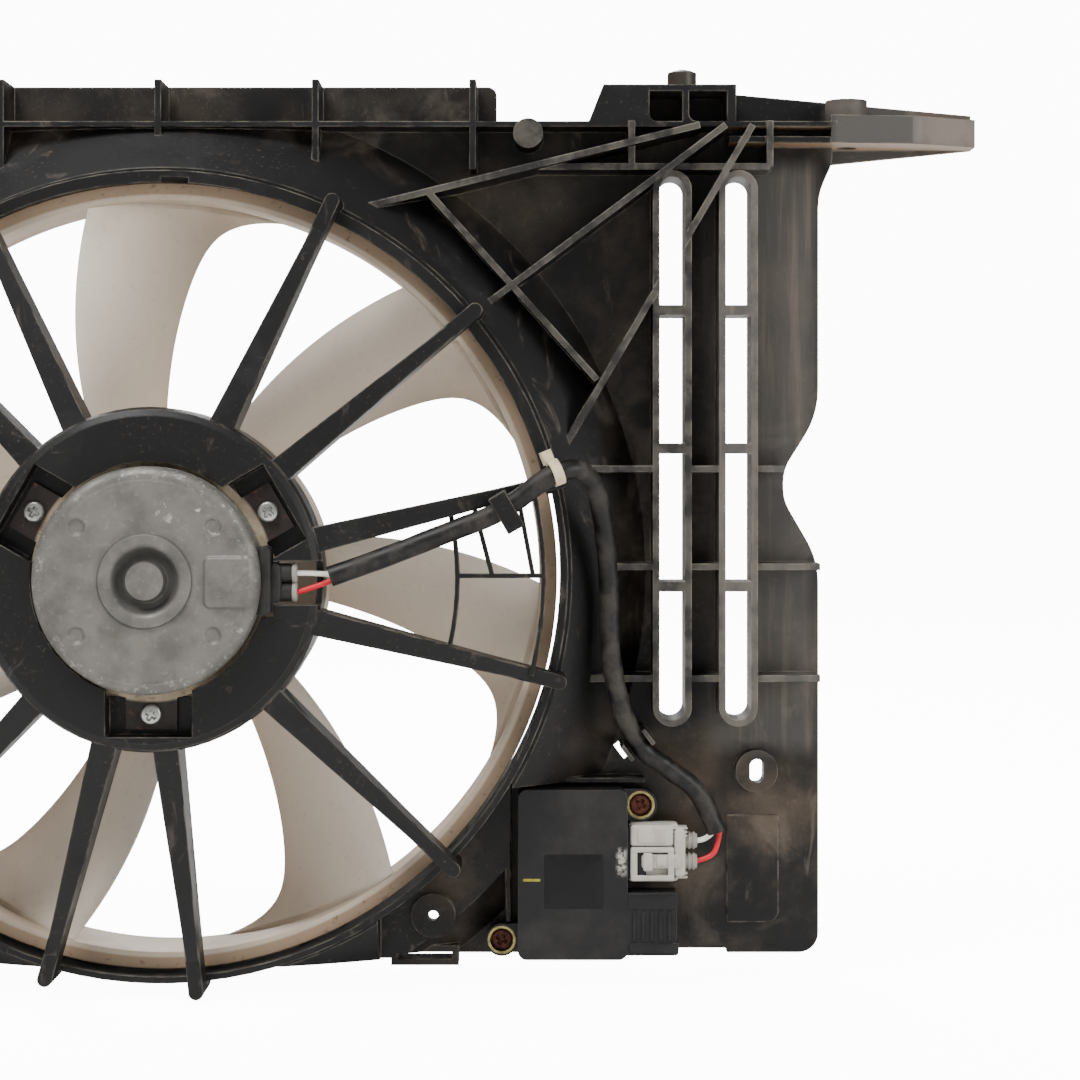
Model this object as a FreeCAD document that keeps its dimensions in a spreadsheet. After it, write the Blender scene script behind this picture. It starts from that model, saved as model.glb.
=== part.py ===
"""Engine-side cooling module of a passenger car: one moulded shroud with the motor carrier on
thirteen spokes, a seven-blade ring fan, its brushed direct-current motor, the fan controller and
the two-wire harness between them.

Frame: the fan axis is the Y axis. +X points to the right as seen from the engine, +Z is up and
+Y points to the radiator. The origin is where the fan axis meets the rim that rests on the
radiator. "Depth" is the distance from that rim towards the engine, so a depth d lies at Y = -d.
"""
import FreeCAD, Part
import math
import os
import re
import Sketcher

Vector = FreeCAD.Vector

SIZES = {
    "Panel": {
        "panel_left": -232.0, "panel_right": 293.7, "panel_bottom": -173.0, "panel_top": 203.6,
        "panel_corner_radius": 9.0, "panel_depth": 24.5, "skin": 2.5,
        "notch_low_end": 5.9, "notch_low_corner": 33.3, "notch_high_corner": 47.0,
        "notch_high_end": 72.1, "notch_deep": 15.9, "notch_radius": 20.0,
        "notch_end_radius": 40.0,
        "neck_low": 172.8, "neck_high": 187.0, "neck_out": 6.5, "neck_radius": 30.0,
        "neck_end_radius": 14.0,
        "bottom_recess_left": 203.0, "bottom_recess_right": 252.0, "bottom_recess_high": 2.0,
        "ledge_left": 95.0, "ledge_high": -90.0, "ledge_depth": 38.0,
        "recess_left": 153.5, "recess_high": -93.8, "recess_wall": 2.0,
        "recess_wall_low": -156.5, "recess_wall_right": 214.0,
        "raised_left": 252.0, "raised_right": 275.4, "raised_low": -159.0,
        "raised_high": -110.4, "raised_thick": 0.9, "raised_radius": 5.0,
    },
    "Barrel": {
        "barrel_bore_radius": 176.0, "barrel_wall": 3.0, "barrel_depth": 65.0,
        "funnel_foot_reach": 36.0, "funnel_head_reach": 2.0, "funnel_head_depth": 58.0,
        "lip_reach": 2.4, "lip_thick": 2.5, "lip_start": 12.0, "lip_end": 125.0,
        "lip_gap_start": 86.0, "lip_gap_end": 90.0,
    },
    "Air slots": {
        "slot_wide": 11.4, "slot_first_centre": 226.0, "slot_pitch": 29.6,
        "slot_low": -64.8, "slot_high": 178.0, "slot_bar": 4.5, "slot_lip": 3.0,
        "slot_duct_depth": 47.0,
    },
    "Ribs": {
        "rib_wall": 3.0, "rib_depth": 50.0, "low_rib_depth": 44.0,
        "cross_rib_high": 47.4, "cross_rib_mid": 3.5, "cross_rib_low": -46.6,
        "rib_hub_left": 81.2, "rib_hub_low": 162.5, "long_rib_end": 238.2, "long_rib_rise": 200.9,
        "mid_rib_left": 136.5, "mid_rib_low": 116.1, "mid_rib_end": 249.8,
        "steep_rib_left": 174.4, "steep_rib_low": 51.5, "steep_rib_end": 261.8,
        "brace_left": 116.5, "brace_high": 171.4, "brace_right": 192.3, "brace_low": 87.1,
    },
    "Carrier and spokes": {
        "carrier_radius": 74.0, "carrier_depth": 99.0, "carrier_wall": 3.0, "carrier_skirt": 25.0,
        "carrier_edge": 4.0, "motor_hole_gap": 2.0,
        "spoke_root_wide": 11.0, "spoke_tip_wide": 5.0, "spoke_sink": 1.0,
        "spoke_root_deep": 22.0, "spoke_tip_depth": 77.0,
        "stub_reach": 26.0, "stub_out": 2.0, "stub_wide": 6.5,
        "stub_foot_depth": 54.0, "stub_rise": 2.0,
        "pocket_wide": 37.0, "pocket_outer_radius": 67.0, "pocket_floor_depth": 88.0,
        "pocket_wall": 2.5,
    },
    "Finger guard": {
        "guard_bar": 2.0, "guard_high": 4.0, "guard_depth": 80.0, "guard_inner_radius": 131.0,
        "guard_outer_gap": 7.6, "guard_bar_level": 1.0,
        "guard_first_bar_low": 146.1, "guard_first_bar_high": 137.5, "guard_first_bar_rise": 33.6,
        "guard_next_bar_low": 163.8, "guard_next_bar_high": 156.9, "guard_next_bar_rise": 38.0,
    },
    "Top beam": {
        "beam_high": 18.7, "beam_end": 147.0, "beam_plate_depth": 19.0, "beam_plate": 3.0,
        "beam_corner_radius": 4.0, "shelf_depth": 42.0, "shelf_plate": 2.5,
        "beam_rib_pitch": 70.7, "beam_rib_first": 136.6, "beam_rib_foot": 182.0,
        "block_left": 195.3, "block_ramp": 7.0, "block_right": 255.0, "block_high": 16.5,
        "block_back_depth": 8.0, "block_front_depth": 42.0,
        "block_pocket_left": 216.0, "block_pocket_split": 232.3, "block_pocket_right": 250.8,
        "block_pocket_deep": 25.0, "block_skin": 3.0, "block_pocket_radius": 3.5,
        "pin_centre": 231.5, "pin_radius": 6.6, "pin_long": 7.5, "pin_depth": 25.0,
        "pin_dome_radius": 14.0,
        "beam_boss_centre": 161.5, "beam_boss_level": 198.0, "beam_boss_radius": 6.7,
        "beam_boss_rise": 2.0,
        "comb_left": 208.0, "comb_right": 270.0, "comb_low": 183.0, "comb_floor_left": 166.0,
    },
    "Arms": {
        "arm_tip": 365.3, "arm_tip_high": 206.6, "arm_plate": 3.0, "arm_flange_high": 12.6,
        "arm_root_low": 187.5, "arm_tip_rise": 3.5,
        "arm_root_back_depth": 6.0, "arm_root_front_depth": 42.0, "arm_tip_back_depth": 12.0,
        "arm_tip_front_depth": 24.0, "arm_bend": 335.0, "arm_bend_front_depth": 38.0,
        "arm_hole_centre": 307.0, "arm_hole_depth": 20.0, "arm_hole_radius": 4.65,
        "arm_boss_radius": 9.5, "arm_boss_high": 9.0, "left_arm_tip": -309.0,
    },
    "Shroud bosses": {
        "low_boss_centre": 118.9, "low_boss_level": -153.4, "low_boss_radius": 10.0,
        "low_boss_bore": 2.3, "low_boss_depth": 41.0,
        "slot_boss_centre": 265.0, "slot_boss_level": -89.5, "slot_boss_radius": 9.6,
        "slot_boss_wide": 6.3, "slot_boss_high": 11.0, "slot_boss_depth": 33.0,
        "hook_left": 102.5, "hook_right": 127.1, "hook_high": 3.0, "hook_frame": 3.0,
        "hook_level": -172.5, "hook_depth": 34.0,
    },
    "Motor": {
        "can_radius": 48.5, "can_rear_depth": 110.0, "can_front_depth": 50.0, "can_wall": 2.0,
        "can_rim_radius": 4.5, "can_step_radius": 20.0, "can_step_high": 1.2,
        "can_recess_radius": 13.0, "can_recess_deep": 2.0, "can_boss_radius": 8.6,
        "dimple_radius": 3.8, "dimple_deep": 0.8, "dimple_circle": 36.8, "dimple_angle": 38.5,
        "pad_left": 25.0, "pad_low": -11.6, "pad_high": 10.3, "pad_thick": 0.8,
        "press_gap": 0.05, "cover_flange": 2.5,
        "ear_plate": 2.5, "ear_wide": 22.0, "ear_end_radius": 64.5, "ear_ring_radius": 52.0,
        "motor_screw_circle": 58.0, "motor_screw_radius": 2.5, "motor_screw_head_radius": 4.5,
        "motor_screw_head_high": 3.0, "motor_screw_gap": 0.4, "motor_screw_under": 6.0,
        "magnet_thick": 6.0, "magnet_gap": 0.1, "magnet_front_depth": 60.0,
        "magnet_rear_depth": 88.0, "magnet_arc": 76.0,
        "rotor_gap": 1.0, "core_front_depth": 61.0, "core_rear_depth": 86.0,
        "core_slots": 12.0, "core_slot_wide": 3.0, "core_slot_deep": 9.0,
        "winding_long": 5.0, "winding_inner_radius": 14.0, "winding_inset": 4.0,
        "commutator_radius": 12.0, "commutator_front_depth": 91.5,
        "commutator_rear_depth": 100.0, "brushes": 4.0, "brush_long": 12.0, "brush_wide": 6.0,
        "brush_high": 7.0, "brush_gap": 0.3, "brush_spring_long": 9.0, "brush_spring_radius": 2.0,
        "holder_plate": 2.5, "holder_gap": 0.6, "holder_hole_gap": 2.0, "holder_lug": 3.0,
        "shaft_radius": 4.0, "shaft_room": 1.0, "running_gap": 0.03, "shaft_nose_depth": 10.0,
        "shaft_rear_depth": 107.0, "front_bearing_radius": 11.0, "front_bearing_long": 7.0,
        "rear_bearing_radius": 7.5, "rear_bearing_long": 6.0,
    },
    "Fan": {
        "blades": 7.0, "fan_tip_gap": 3.0, "fan_flange_reach": 4.0, "fan_ring_wall": 2.5,
        "fan_ring_front_depth": 22.0, "fan_ring_rear_depth": 56.0, "fan_flange_thick": 2.5,
        "hub_radius": 72.0, "hub_wall": 2.5, "hub_face_depth": 21.0,
        "hub_rear_depth": 56.0, "hub_edge": 5.0, "hub_boss_radius": 14.0,
        "hub_boss_rear_depth": 44.0, "insert_radius": 8.0, "insert_gap": 0.05,
        "blade_thick": 2.4, "blade_front_depth": 25.0, "blade_rear_depth": 54.0,
        "blade_sink": 4.0, "blade_camber": 3.5, "blade_root_wide": 35.0, "blade_root_centre": 3.5,
        "blade_mid_radius": 111.0, "blade_mid_wide": 42.8, "blade_mid_centre": -6.4,
        "blade_outer_radius": 145.0, "blade_outer_wide": 56.0, "blade_outer_centre": -19.0,
        "blade_tip_wide": 66.0, "blade_tip_centre": -34.0,
        "nut_across_flats": 13.0, "nut_high": 6.0, "washer_radius": 9.0, "washer_thick": 1.5,
    },
    "Controller": {
        "case_left": 157.0, "case_right": 206.0, "case_low": -172.0, "case_high": -96.0,
        "case_front_depth": 48.0, "case_rear_depth": 31.0, "case_wall": 2.0,
        "case_corner_radius": 4.0, "base_plate": 3.0, "fin_deep": 13.0, "fin_wall": 1.8,
        "fin_pitch": 5.6, "fins": 7.0, "fin_inset": 5.0, "window_gap": 2.5,
        "board_thick": 1.6, "board_gap": 1.0, "board_lift": 2.5, "pad_side": 6.0, "pad_end": 16.0,
        "capacitor_radius": 4.5, "capacitor_long": 20.0, "capacitor_side": 10.0, "capacitor_drop": 20.0,
        "capacitor_pitch": 14.0, "ear_radius": 7.3, "ear_thick": 6.0,
        "ear_high_x": 212.2, "ear_high_z": -104.2, "ear_low_x": 149.6, "ear_low_z": -165.0,
        "bushing_radius": 6.4, "bushing_wall": 1.2, "bushing_floor": 2.0, "screw_radius": 2.9,
        "screw_head_radius": 4.8, "screw_head_high": 2.6, "screw_deep": 12.0, "post_radius": 6.0,
        "fit_gap": 0.1,
        "socket_left": 206.0, "socket_right": 228.0, "socket_low": -170.0, "socket_high": -142.0,
        "socket_rear_depth": 33.0, "socket_wall": 2.0, "socket_deep": 16.0,
        "terminal_wide": 2.8, "terminal_thick": 0.8, "terminal_long": 10.0,
    },
    "Plug": {
        "plug_left": 206.5, "plug_right": 229.0, "plug_low": -137.6, "plug_high": -111.8,
        "plug_front_depth": 46.0, "plug_rear_depth": 33.0, "plug_wall": 1.5, "header_long": 8.0,
        "latch_window_left": 212.0, "latch_window_right": 224.0, "latch_window_low": -131.5,
        "latch_window_high": -121.0, "latch_rise": 0.6, "latch_key_gap": 0.4,
        "seal_radius": 3.9, "seal_long": 8.0,
        "seal_high_level": -119.7, "seal_low_level": -129.0, "wire_radius": 1.2,
    },
    "Harness": {
        "sleeve_radius": 4.4, "cap_right": 52.0, "cap_low": -15.0, "cap_high": 14.6,
        "cap_front_depth": 104.0, "cap_rear_depth": 91.0, "cap_gap": 1.0,
        "grommet_right": 63.0, "grommet_radius": 4.2, "grommet_depth": 95.0,
        "grommet_high": 2.9, "grommet_low": -5.3,
        "lead_front_depth": 92.5, "lead_rear_depth": 98.5, "lead_low": -7.0, "lead_high": 4.6,
        "tie_wide": 4.5, "tie_thick": 1.3, "tie_gap": 0.05, "tie_head": 6.0,
        "clip_wall": 2.0, "clip_long": 8.0, "clip_gap": 0.5, "clip_tail": 3.5,
        "clip_slit_wide": 3.0, "clip_slit_long": 8.0,
    },
}

SPOKE_ANGLES = [13.5, 40.0, 65.0, 116.0, 134.5, 158.0, 182.0, 205.0, 226.5, 254.5, 275.5, 315.5, 345.5]
EAR_ANGLES = [-90.0, 30.0, 150.0]
FIRST_MAGNET = 45

# The harness sleeve, from the motor over the guard and the barrel down to the controller plug:
# (X, depth, Z) of the corners of its route.
SLEEVE_ROUTE = [
    (76.8, 94.0, 1.1), (102.0, 92.0, 10.0), (131.0, 87.5, 21.5), (152.0, 85.5, 29.5),
    (173.5, 89.0, 47.0), (188.5, 81.0, 47.5), (196.0, 60.0, 21.0), (197.6, 52.5, -12.0),
    (198.8, 51.0, -47.0), (209.5, 44.5, -76.5), (225.5, 43.0, -88.0), (240.5, 40.0, -98.5),
    (246.3, 39.5, -116.0),
]
ARM_CLIP_NUMBER = 3
TIE_NUMBER = 4
PANEL_CLIP_NUMBER = 9
# How far the arc at a corner reaches along the shorter of its two runs.
ARC_SHARE = 0.45
# A slot's end is rounded by this share of its half width, which leaves a short flat.
FULL_ROUND = 0.98
# The middle point of a rounded edge lies this share of the edge in from each face.
EDGE_SHARE = 0.3
# Cutting tools run 1 mm past the faces that they open.

# Radii that follow from the barrel's bore: its outside, the flare round it and the ring of the fan.
BARREL_OUTER = "(barrel_bore_radius + barrel_wall)"
FUNNEL_FOOT = f"({BARREL_OUTER} + funnel_foot_reach)"
FUNNEL_HEAD = f"({BARREL_OUTER} + funnel_head_reach)"
STUB_END = f"({BARREL_OUTER} + stub_out)"
FLANGE_RADIUS = "(barrel_bore_radius - fan_tip_gap)"
RING_OUTER = f"({FLANGE_RADIUS} - fan_flange_reach)"
RING_INNER = f"({RING_OUTER} - fan_ring_wall)"
GUARD_OUTER = "(barrel_bore_radius - guard_outer_gap)"

# The bare ends of the two wires, as (X, depth, Z) points from each housing to the sleeve.
WIRE_ENDS = {
    "wire_white": [[(62.9, 95.0, 2.9), (70.0, 95.0, 2.9), (76.6, 94.2, 2.4)],
                   [(236.9, 39.5, -119.7), (241.2, 39.5, -119.9), (244.4, 39.6, -116.2)]],
    "wire_red": [[(62.9, 95.0, -5.3), (69.5, 94.8, -3.6), (77.6, 94.1, -0.4)],
                 [(236.9, 39.5, -129.0), (242.8, 39.6, -127.8), (246.8, 39.6, -123.4),
                  (247.7, 39.5, -115.2)]],
}

document = FreeCAD.newDocument("cooling_module")
sheet = document.addObject("Spreadsheet::Sheet", "Sizes")
aliases = []
row = 1
for section, entries in SIZES.items():
    sheet.set(f"A{row}", section)
    row += 1
    for alias, number in entries.items():
        sheet.set(f"A{row}", alias.replace("_", " "))
        sheet.set(f"B{row}", str(number))
        sheet.setAlias(f"B{row}", alias)
        aliases.append(alias)
        row += 1
document.recompute()

alias_word = re.compile(r"\b(" + "|".join(sorted(aliases, key=len, reverse=True)) + r")\b")
nodes = []


def bound(expression):
    """The expression with each size written as its cell of the sheet."""
    return alias_word.sub(r"Sizes.\1", str(expression))


def size(expression):
    """The number that an expression in the sheet's sizes has now."""
    result = sheet.evalExpression(bound(expression))
    return float(getattr(result, "Value", result))


def bind(item, **expressions):
    """Ties properties to expressions; a double underscore stands for the dot of a sub-property."""
    for name, expression in expressions.items():
        item.setExpression(name.replace("__", "."), bound(expression))
    return item


def place(item, x="0", depth="0", z="0", turn="0", tilt="0", roll="0"):
    """Puts an item at X, depth and Z, rolled about X, then tilted about Y, then turned about Z."""
    return bind(item, Placement=f"create(<<placement>>; create(<<vector>>; {x}; -({depth}); {z}); "
                                f"create(<<rotation>>; {turn}; {tilt}; {roll}))")


def node(item, name):
    """Gives a finished sub-part the name of its file."""
    item.Label = name
    nodes.append(item)
    return item


def block(name, x, depth, z):
    """An upright box between two values of X, of depth and of Z."""
    item = document.addObject("Part::Box", name)
    bind(item, Length=f"({x[1]}) - ({x[0]})", Width=f"({depth[1]}) - ({depth[0]})",
         Height=f"({z[1]}) - ({z[0]})")
    return place(item, x[0], depth[1], z[0])


def spoke_block(name, angle, along, across, depth):
    """A box set out from the fan axis: along the radius at an angle, across it and in depth."""
    item = document.addObject("Part::Box", name)
    bind(item, Length=f"({across[1]}) - ({across[0]})", Width=f"({along[1]}) - ({along[0]})",
         Height=f"({depth[1]}) - ({depth[0]})")
    out = f"({along[0]})"
    side = f"({across[0]})"
    return place(item, f"{out} * cos({angle}) + {side} * sin({angle})", depth[0],
                 f"{out} * sin({angle}) - {side} * cos({angle})", tilt=f"90 - ({angle})", roll="90")


def round_bar(name, radius, depth, x="0", z="0"):
    """A cylinder along the depth."""
    item = document.addObject("Part::Cylinder", name)
    bind(item, Radius=radius, Height=f"({depth[1]}) - ({depth[0]})")
    return place(item, x, depth[0], z, roll="90")


def sector(name, radius, depth, start, end):
    """The sector of a disc on the fan axis between two angles, counted from +X towards +Z."""
    item = document.addObject("Part::Cylinder", name)
    bind(item, Radius=radius, Height=f"({depth[1]}) - ({depth[0]})", Angle=f"({end}) - ({start})")
    return place(item, "0", depth[0], "0", tilt=f"-({start})", roll="90")


def upright_bar(name, radius, x, depth, z):
    """A cylinder along Z, between two values of Z."""
    item = document.addObject("Part::Cylinder", name)
    bind(item, Radius=radius, Height=f"({z[1]}) - ({z[0]})")
    return place(item, x, depth, z[0])


def level_bar(name, radius, x, depth, z):
    """A cylinder along X, between two values of X."""
    item = document.addObject("Part::Cylinder", name)
    bind(item, Radius=radius, Height=f"({x[1]}) - ({x[0]})")
    return place(item, x[0], depth, z, tilt="90")


def wall(name, start, end, depth, thickness="rib_wall"):
    """A thin wall whose centre line runs from one (X, Z) point to another."""
    run = f"({end[0]} - ({start[0]}))"
    rise = f"({end[1]} - ({start[1]}))"
    length = f"hypot({run}; {rise})"
    item = document.addObject("Part::Box", name)
    bind(item, Length=length, Width=f"({depth[1]}) - ({depth[0]})", Height=thickness)
    return place(item, f"{start[0]} + {thickness} / 2 * {rise} / {length}", depth[1],
                 f"{start[1]} - {thickness} / 2 * {run} / {length}", tilt=f"-atan2({rise}; {run})")


def fused(name, items):
    """The union of several items."""
    item = document.addObject("Part::MultiFuse", name)
    item.Shapes = items
    return item


def grouped(name, items):
    """Separate solids of one kind, kept apart in one node."""
    item = document.addObject("Part::Compound", name)
    item.Links = items
    return item


def common(name, first, second):
    """What two items share."""
    item = document.addObject("Part::Common", name)
    item.Base = first
    item.Tool = second
    return item


def cut(name, base, tools):
    """A base with one tool or the union of several tools taken away."""
    item = document.addObject("Part::Cut", name)
    item.Base = base
    item.Tool = tools[0] if len(tools) == 1 else fused(name + "_tools", tools)
    return item


def sketch_on(body, role, name, corners, offset="0"):
    """A closed outline on one of a body's own planes.

    Each corner is a pair of expressions, or a triple whose third one rounds that corner.
    """
    plane = [feature for feature in body.Origin.OriginFeatures if feature.Role == role][0]
    sketch = body.newObject("Sketcher::SketchObject", name)
    sketch.AttachmentSupport = [(plane, "")]
    sketch.MapMode = "FlatFace"
    bind(sketch, AttachmentOffset__Base__z=offset)
    points = [Vector(size(corner[0]), size(corner[1]), 0) for corner in corners]
    count = len(points)
    for index in range(count):
        sketch.addGeometry(Part.LineSegment(points[index], points[(index + 1) % count]))
    for index in range(count):
        sketch.addConstraint(Sketcher.Constraint("Coincident", index, 2, (index + 1) % count, 1))
    for index, corner in enumerate(corners):
        for kind, expression in zip(("DistanceX", "DistanceY"), corner):
            constraint = Sketcher.Constraint(kind, -1, 1, index, 1, size(expression))
            tie(sketch, constraint, f"corner{index}{kind[-1]}", expression)
    for index, corner in enumerate(corners):
        if len(corner) == 3:
            before = (points[index - 1] + points[index]) / 2
            after = (points[index] + points[(index + 1) % count]) / 2
            sketch.fillet((index - 1) % count, index, before, after, size(corner[2]), 1, True)
            arc = max(number for number in range(sketch.GeometryCount)
                      if isinstance(sketch.Geometry[number], Part.ArcOfCircle))
            tie(sketch, Sketcher.Constraint("Radius", arc, size(corner[2])), f"round{index}", corner[2])
    return sketch


def tie(sketch, constraint, name, expression):
    """Adds a named constraint that follows an expression."""
    number = sketch.addConstraint(constraint)
    sketch.renameConstraint(number, name)
    sketch.setExpression(".Constraints." + name, bound(expression))


def plate(name, corners, depth):
    """A body with one outline in X and Z, padded between two depths."""
    body = document.addObject("PartDesign::Body", name)
    pad = body.newObject("PartDesign::Pad", name + "_pad")
    pad.Profile = sketch_on(body, "XZ_Plane", name + "_outline", corners, depth[0])
    bind(pad, Length=f"({depth[1]}) - ({depth[0]})")
    return body


def revolve(body, kind, name, corners):
    """Adds a turned feature, or cuts one, from (radius, depth) corners round the fan axis."""
    outline = [(corner[0], f"-({corner[1]})") for corner in corners]
    feature = body.newObject("PartDesign::" + kind, name)
    feature.Profile = sketch_on(body, "XY_Plane", name + "_outline", outline)
    feature.ReferenceAxis = (feature.Profile[0], ["V_Axis"])
    feature.Angle = 360
    return feature


def turned(name, corners):
    """A body turned about the fan axis from an outline of (radius, depth) corners."""
    body = document.addObject("PartDesign::Body", name)
    revolve(body, "Revolution", name + "_turn", corners)
    return body


def tube_on_axis(name, bore, radius, depth):
    """A ring on the fan axis between two radii and two depths."""
    return turned(name, [(bore, depth[0]), (radius, depth[0]), (radius, depth[1]), (bore, depth[1])])


def make_panel():
    """The shallow pan of the shroud, open to the radiator, with the fan opening and air slots."""
    right = "panel_right"
    floor = "panel_right - notch_deep"
    corners = [
        ("panel_left", "panel_bottom", "panel_corner_radius"),
        ("bottom_recess_left", "panel_bottom"),
        ("bottom_recess_left", "panel_bottom + bottom_recess_high"),
        ("bottom_recess_right", "panel_bottom + bottom_recess_high"),
        ("bottom_recess_right", "panel_bottom"),
        (right, "panel_bottom", "panel_corner_radius"),
        (right, "notch_low_end", "notch_end_radius"),
        (floor, "notch_low_corner", "notch_radius"),
        (floor, "notch_high_corner", "notch_radius"),
        (right, "notch_high_end", "notch_end_radius"),
        (right, "neck_low", "neck_radius"),
        ("panel_right + neck_out", "neck_high", "neck_end_radius"),
        ("panel_right + neck_out", "panel_top"),
        ("panel_left", "panel_top"),
    ]
    body = plate("panel", corners, ("0", "panel_depth"))
    document.recompute()
    pad = body.Tip
    rim = [f"Face{number}" for number, face in enumerate(pad.Shape.Faces, 1)
           if abs(face.CenterOfMass.y) < 1e-6]
    shell = body.newObject("PartDesign::Thickness", "panel_shell")
    shell.Base = (pad, rim)
    shell.Reversed = True
    shell.Join = 1
    bind(shell, Value="skin")
    return body


def slot_boxes(name, grow, depth, gaps):
    """The two columns of air slots, grown by a margin, each cut up by its cross bars or whole."""
    items = []
    rounding = f"slot_wide / 2 + {grow}"
    for column in range(2):
        centre = f"slot_first_centre + {column} * slot_pitch"
        pitch = "(slot_high - slot_low + slot_bar) / 4"
        for window in range(4 if gaps else 1):
            low = f"slot_low + {window} * {pitch}" if gaps else f"slot_low - {grow}"
            high = f"{low} + {pitch} - slot_bar" if gaps else f"slot_high + {grow}"
            left, right = f"{centre} - ({rounding})", f"{centre} + {rounding}"
            first, last = window == 0 or not gaps, window == 3 or not gaps
            corners = [(left, low), (right, low), (right, high), (left, high)]
            low_round = (f"({rounding}) * {FULL_ROUND}",) if first else ()
            high_round = (f"({rounding}) * {FULL_ROUND}",) if last else ()
            corners = [corners[0] + low_round, corners[1] + low_round,
                       corners[2] + high_round, corners[3] + high_round]
            items.append(plate(f"{name}_{column}_{window}", corners, depth))
    return items


def make_barrel():
    """The cylinder round the fan with its lips, the flare round it and the hollow of that flare."""
    outer = BARREL_OUTER
    foot = "panel_depth - skin"
    tube = turned("barrel", [("barrel_bore_radius", foot), (outer, foot),
                             (outer, "barrel_depth"), ("barrel_bore_radius", "barrel_depth")])
    head = "funnel_head_depth"
    flare = turned("funnel", [("barrel_bore_radius", foot), (FUNNEL_FOOT, foot),
                              (FUNNEL_FOOT, "panel_depth"),
                              (FUNNEL_HEAD, head), ("barrel_bore_radius", head)])
    hollow = turned("funnel_inside", [
        (outer, "-1"), (f"{FUNNEL_FOOT} - barrel_wall", "-1"),
        (f"{FUNNEL_FOOT} - barrel_wall", "panel_depth - barrel_wall / 2"),
        (outer, f"{head} - barrel_wall")])
    low = "panel_bottom - 1"
    recess = block("recess", ("recess_left", "panel_right + 1"), ("panel_depth", "barrel_depth"),
                   (low, "recess_high"))
    ledge = block("ledge_room", ("ledge_left", "recess_left + 1"), ("ledge_depth", "barrel_depth"),
                  (low, "ledge_high"))
    ears = [round_bar(f"ear_room_{name}", "ear_radius", ("case_rear_depth", "barrel_depth"),
                      f"ear_{name}_x", f"ear_{name}_z") for name in ("high", "low")]
    kept = [
        block("recess_floor_left", ("recess_left - barrel_wall", "panel_right"),
              ("-2", "barrel_depth"), (low, "recess_high + barrel_wall")),
        block("ledge_plate", ("ledge_left - barrel_wall", "recess_left"),
              ("ledge_depth - barrel_wall", "barrel_depth"), (low, "ledge_high + barrel_wall")),
    ]
    inside = common("funnel_hollow", cut("funnel_inside_cut", hollow, kept),
                    block("funnel_inner_clip", ("panel_left + skin", "panel_right - skin"),
                          ("-1", "barrel_depth"), ("panel_bottom + skin", "panel_top - skin")))
    outside = common("funnel_in_outline", cut("funnel_round", flare, [recess, ledge] + ears),
                     block("funnel_clip", ("panel_left", "panel_right"), ("0", "barrel_depth"),
                           ("panel_bottom", "panel_top")))
    lip_depth = ("barrel_depth - lip_thick", "barrel_depth")
    mouth = "barrel_bore_radius + barrel_wall / 2"
    lips = [sector("lip_right", mouth, lip_depth, "lip_start", "lip_gap_start"),
            sector("lip_left", mouth, lip_depth, "lip_gap_end", "lip_end")]
    ring = cut("lips", fused("lip_sectors", lips),
               [round_bar("lip_bore", "barrel_bore_radius - lip_reach",
                          ("barrel_depth - lip_thick - 1", "barrel_depth + 1"))])
    parts = [tube, outside, ring]
    if size(outer) > -size("panel_bottom + skin"):
        parts.append(common("barrel_below_rim", turned("barrel_front", [
            ("barrel_bore_radius", "0"), (outer, "0"), (outer, "panel_depth"),
            ("barrel_bore_radius", "panel_depth")]),
            block("rim_clip", (f"-{outer}", outer), ("-1", "panel_depth + 1"),
                  (f"-{outer} - 1", "panel_bottom + skin"))))
    return parts, inside


def make_ribs():
    """The stiffening walls that stand on the panel between the barrel, the slots and the beam."""
    stand = ("panel_depth - skin / 2", "rib_depth")
    low = ("panel_depth - skin / 2", "low_rib_depth")
    ribs = [
        wall("long_rib", ("rib_hub_left", "rib_hub_low"), ("long_rib_end", "long_rib_rise"), stand),
        wall("mid_rib", ("mid_rib_left", "mid_rib_low"), ("mid_rib_end", "long_rib_rise"), stand),
        wall("steep_rib", ("steep_rib_left", "steep_rib_low"),
             ("steep_rib_end", "long_rib_rise"), stand),
        wall("brace", ("brace_left", "brace_high"), ("brace_right", "brace_low"), stand),
    ]
    right_edge = "panel_right - skin / 2"
    ends = {"high": "panel_right - notch_deep - skin / 2", "mid": right_edge, "low": right_edge}
    for level, end in ends.items():
        height = "cross_rib_" + level
        start = f"sqrt((barrel_bore_radius + barrel_wall / 2) ^ 2 - {height} ^ 2)"
        ribs.append(wall(f"cross_rib_{level}", (start, height), (end, height), low))
    for column in ("comb_left", "comb_right"):
        ribs.append(wall("comb_" + column, (column, "comb_low"), (column, "panel_top"), low))
    ribs.append(wall("comb_floor", ("comb_floor_left", "comb_low"), ("comb_right", "comb_low"), low))
    recess_depth = ("panel_depth - skin / 2", "ledge_depth")
    side = "recess_left - recess_wall / 2"
    top = "recess_high + recess_wall / 2"
    ribs.append(wall("recess_side", (side, "recess_wall_low"), (side, top), recess_depth, "recess_wall"))
    ribs.append(wall("recess_top", (side, top), ("recess_wall_right", top), recess_depth, "recess_wall"))
    return ribs


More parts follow.
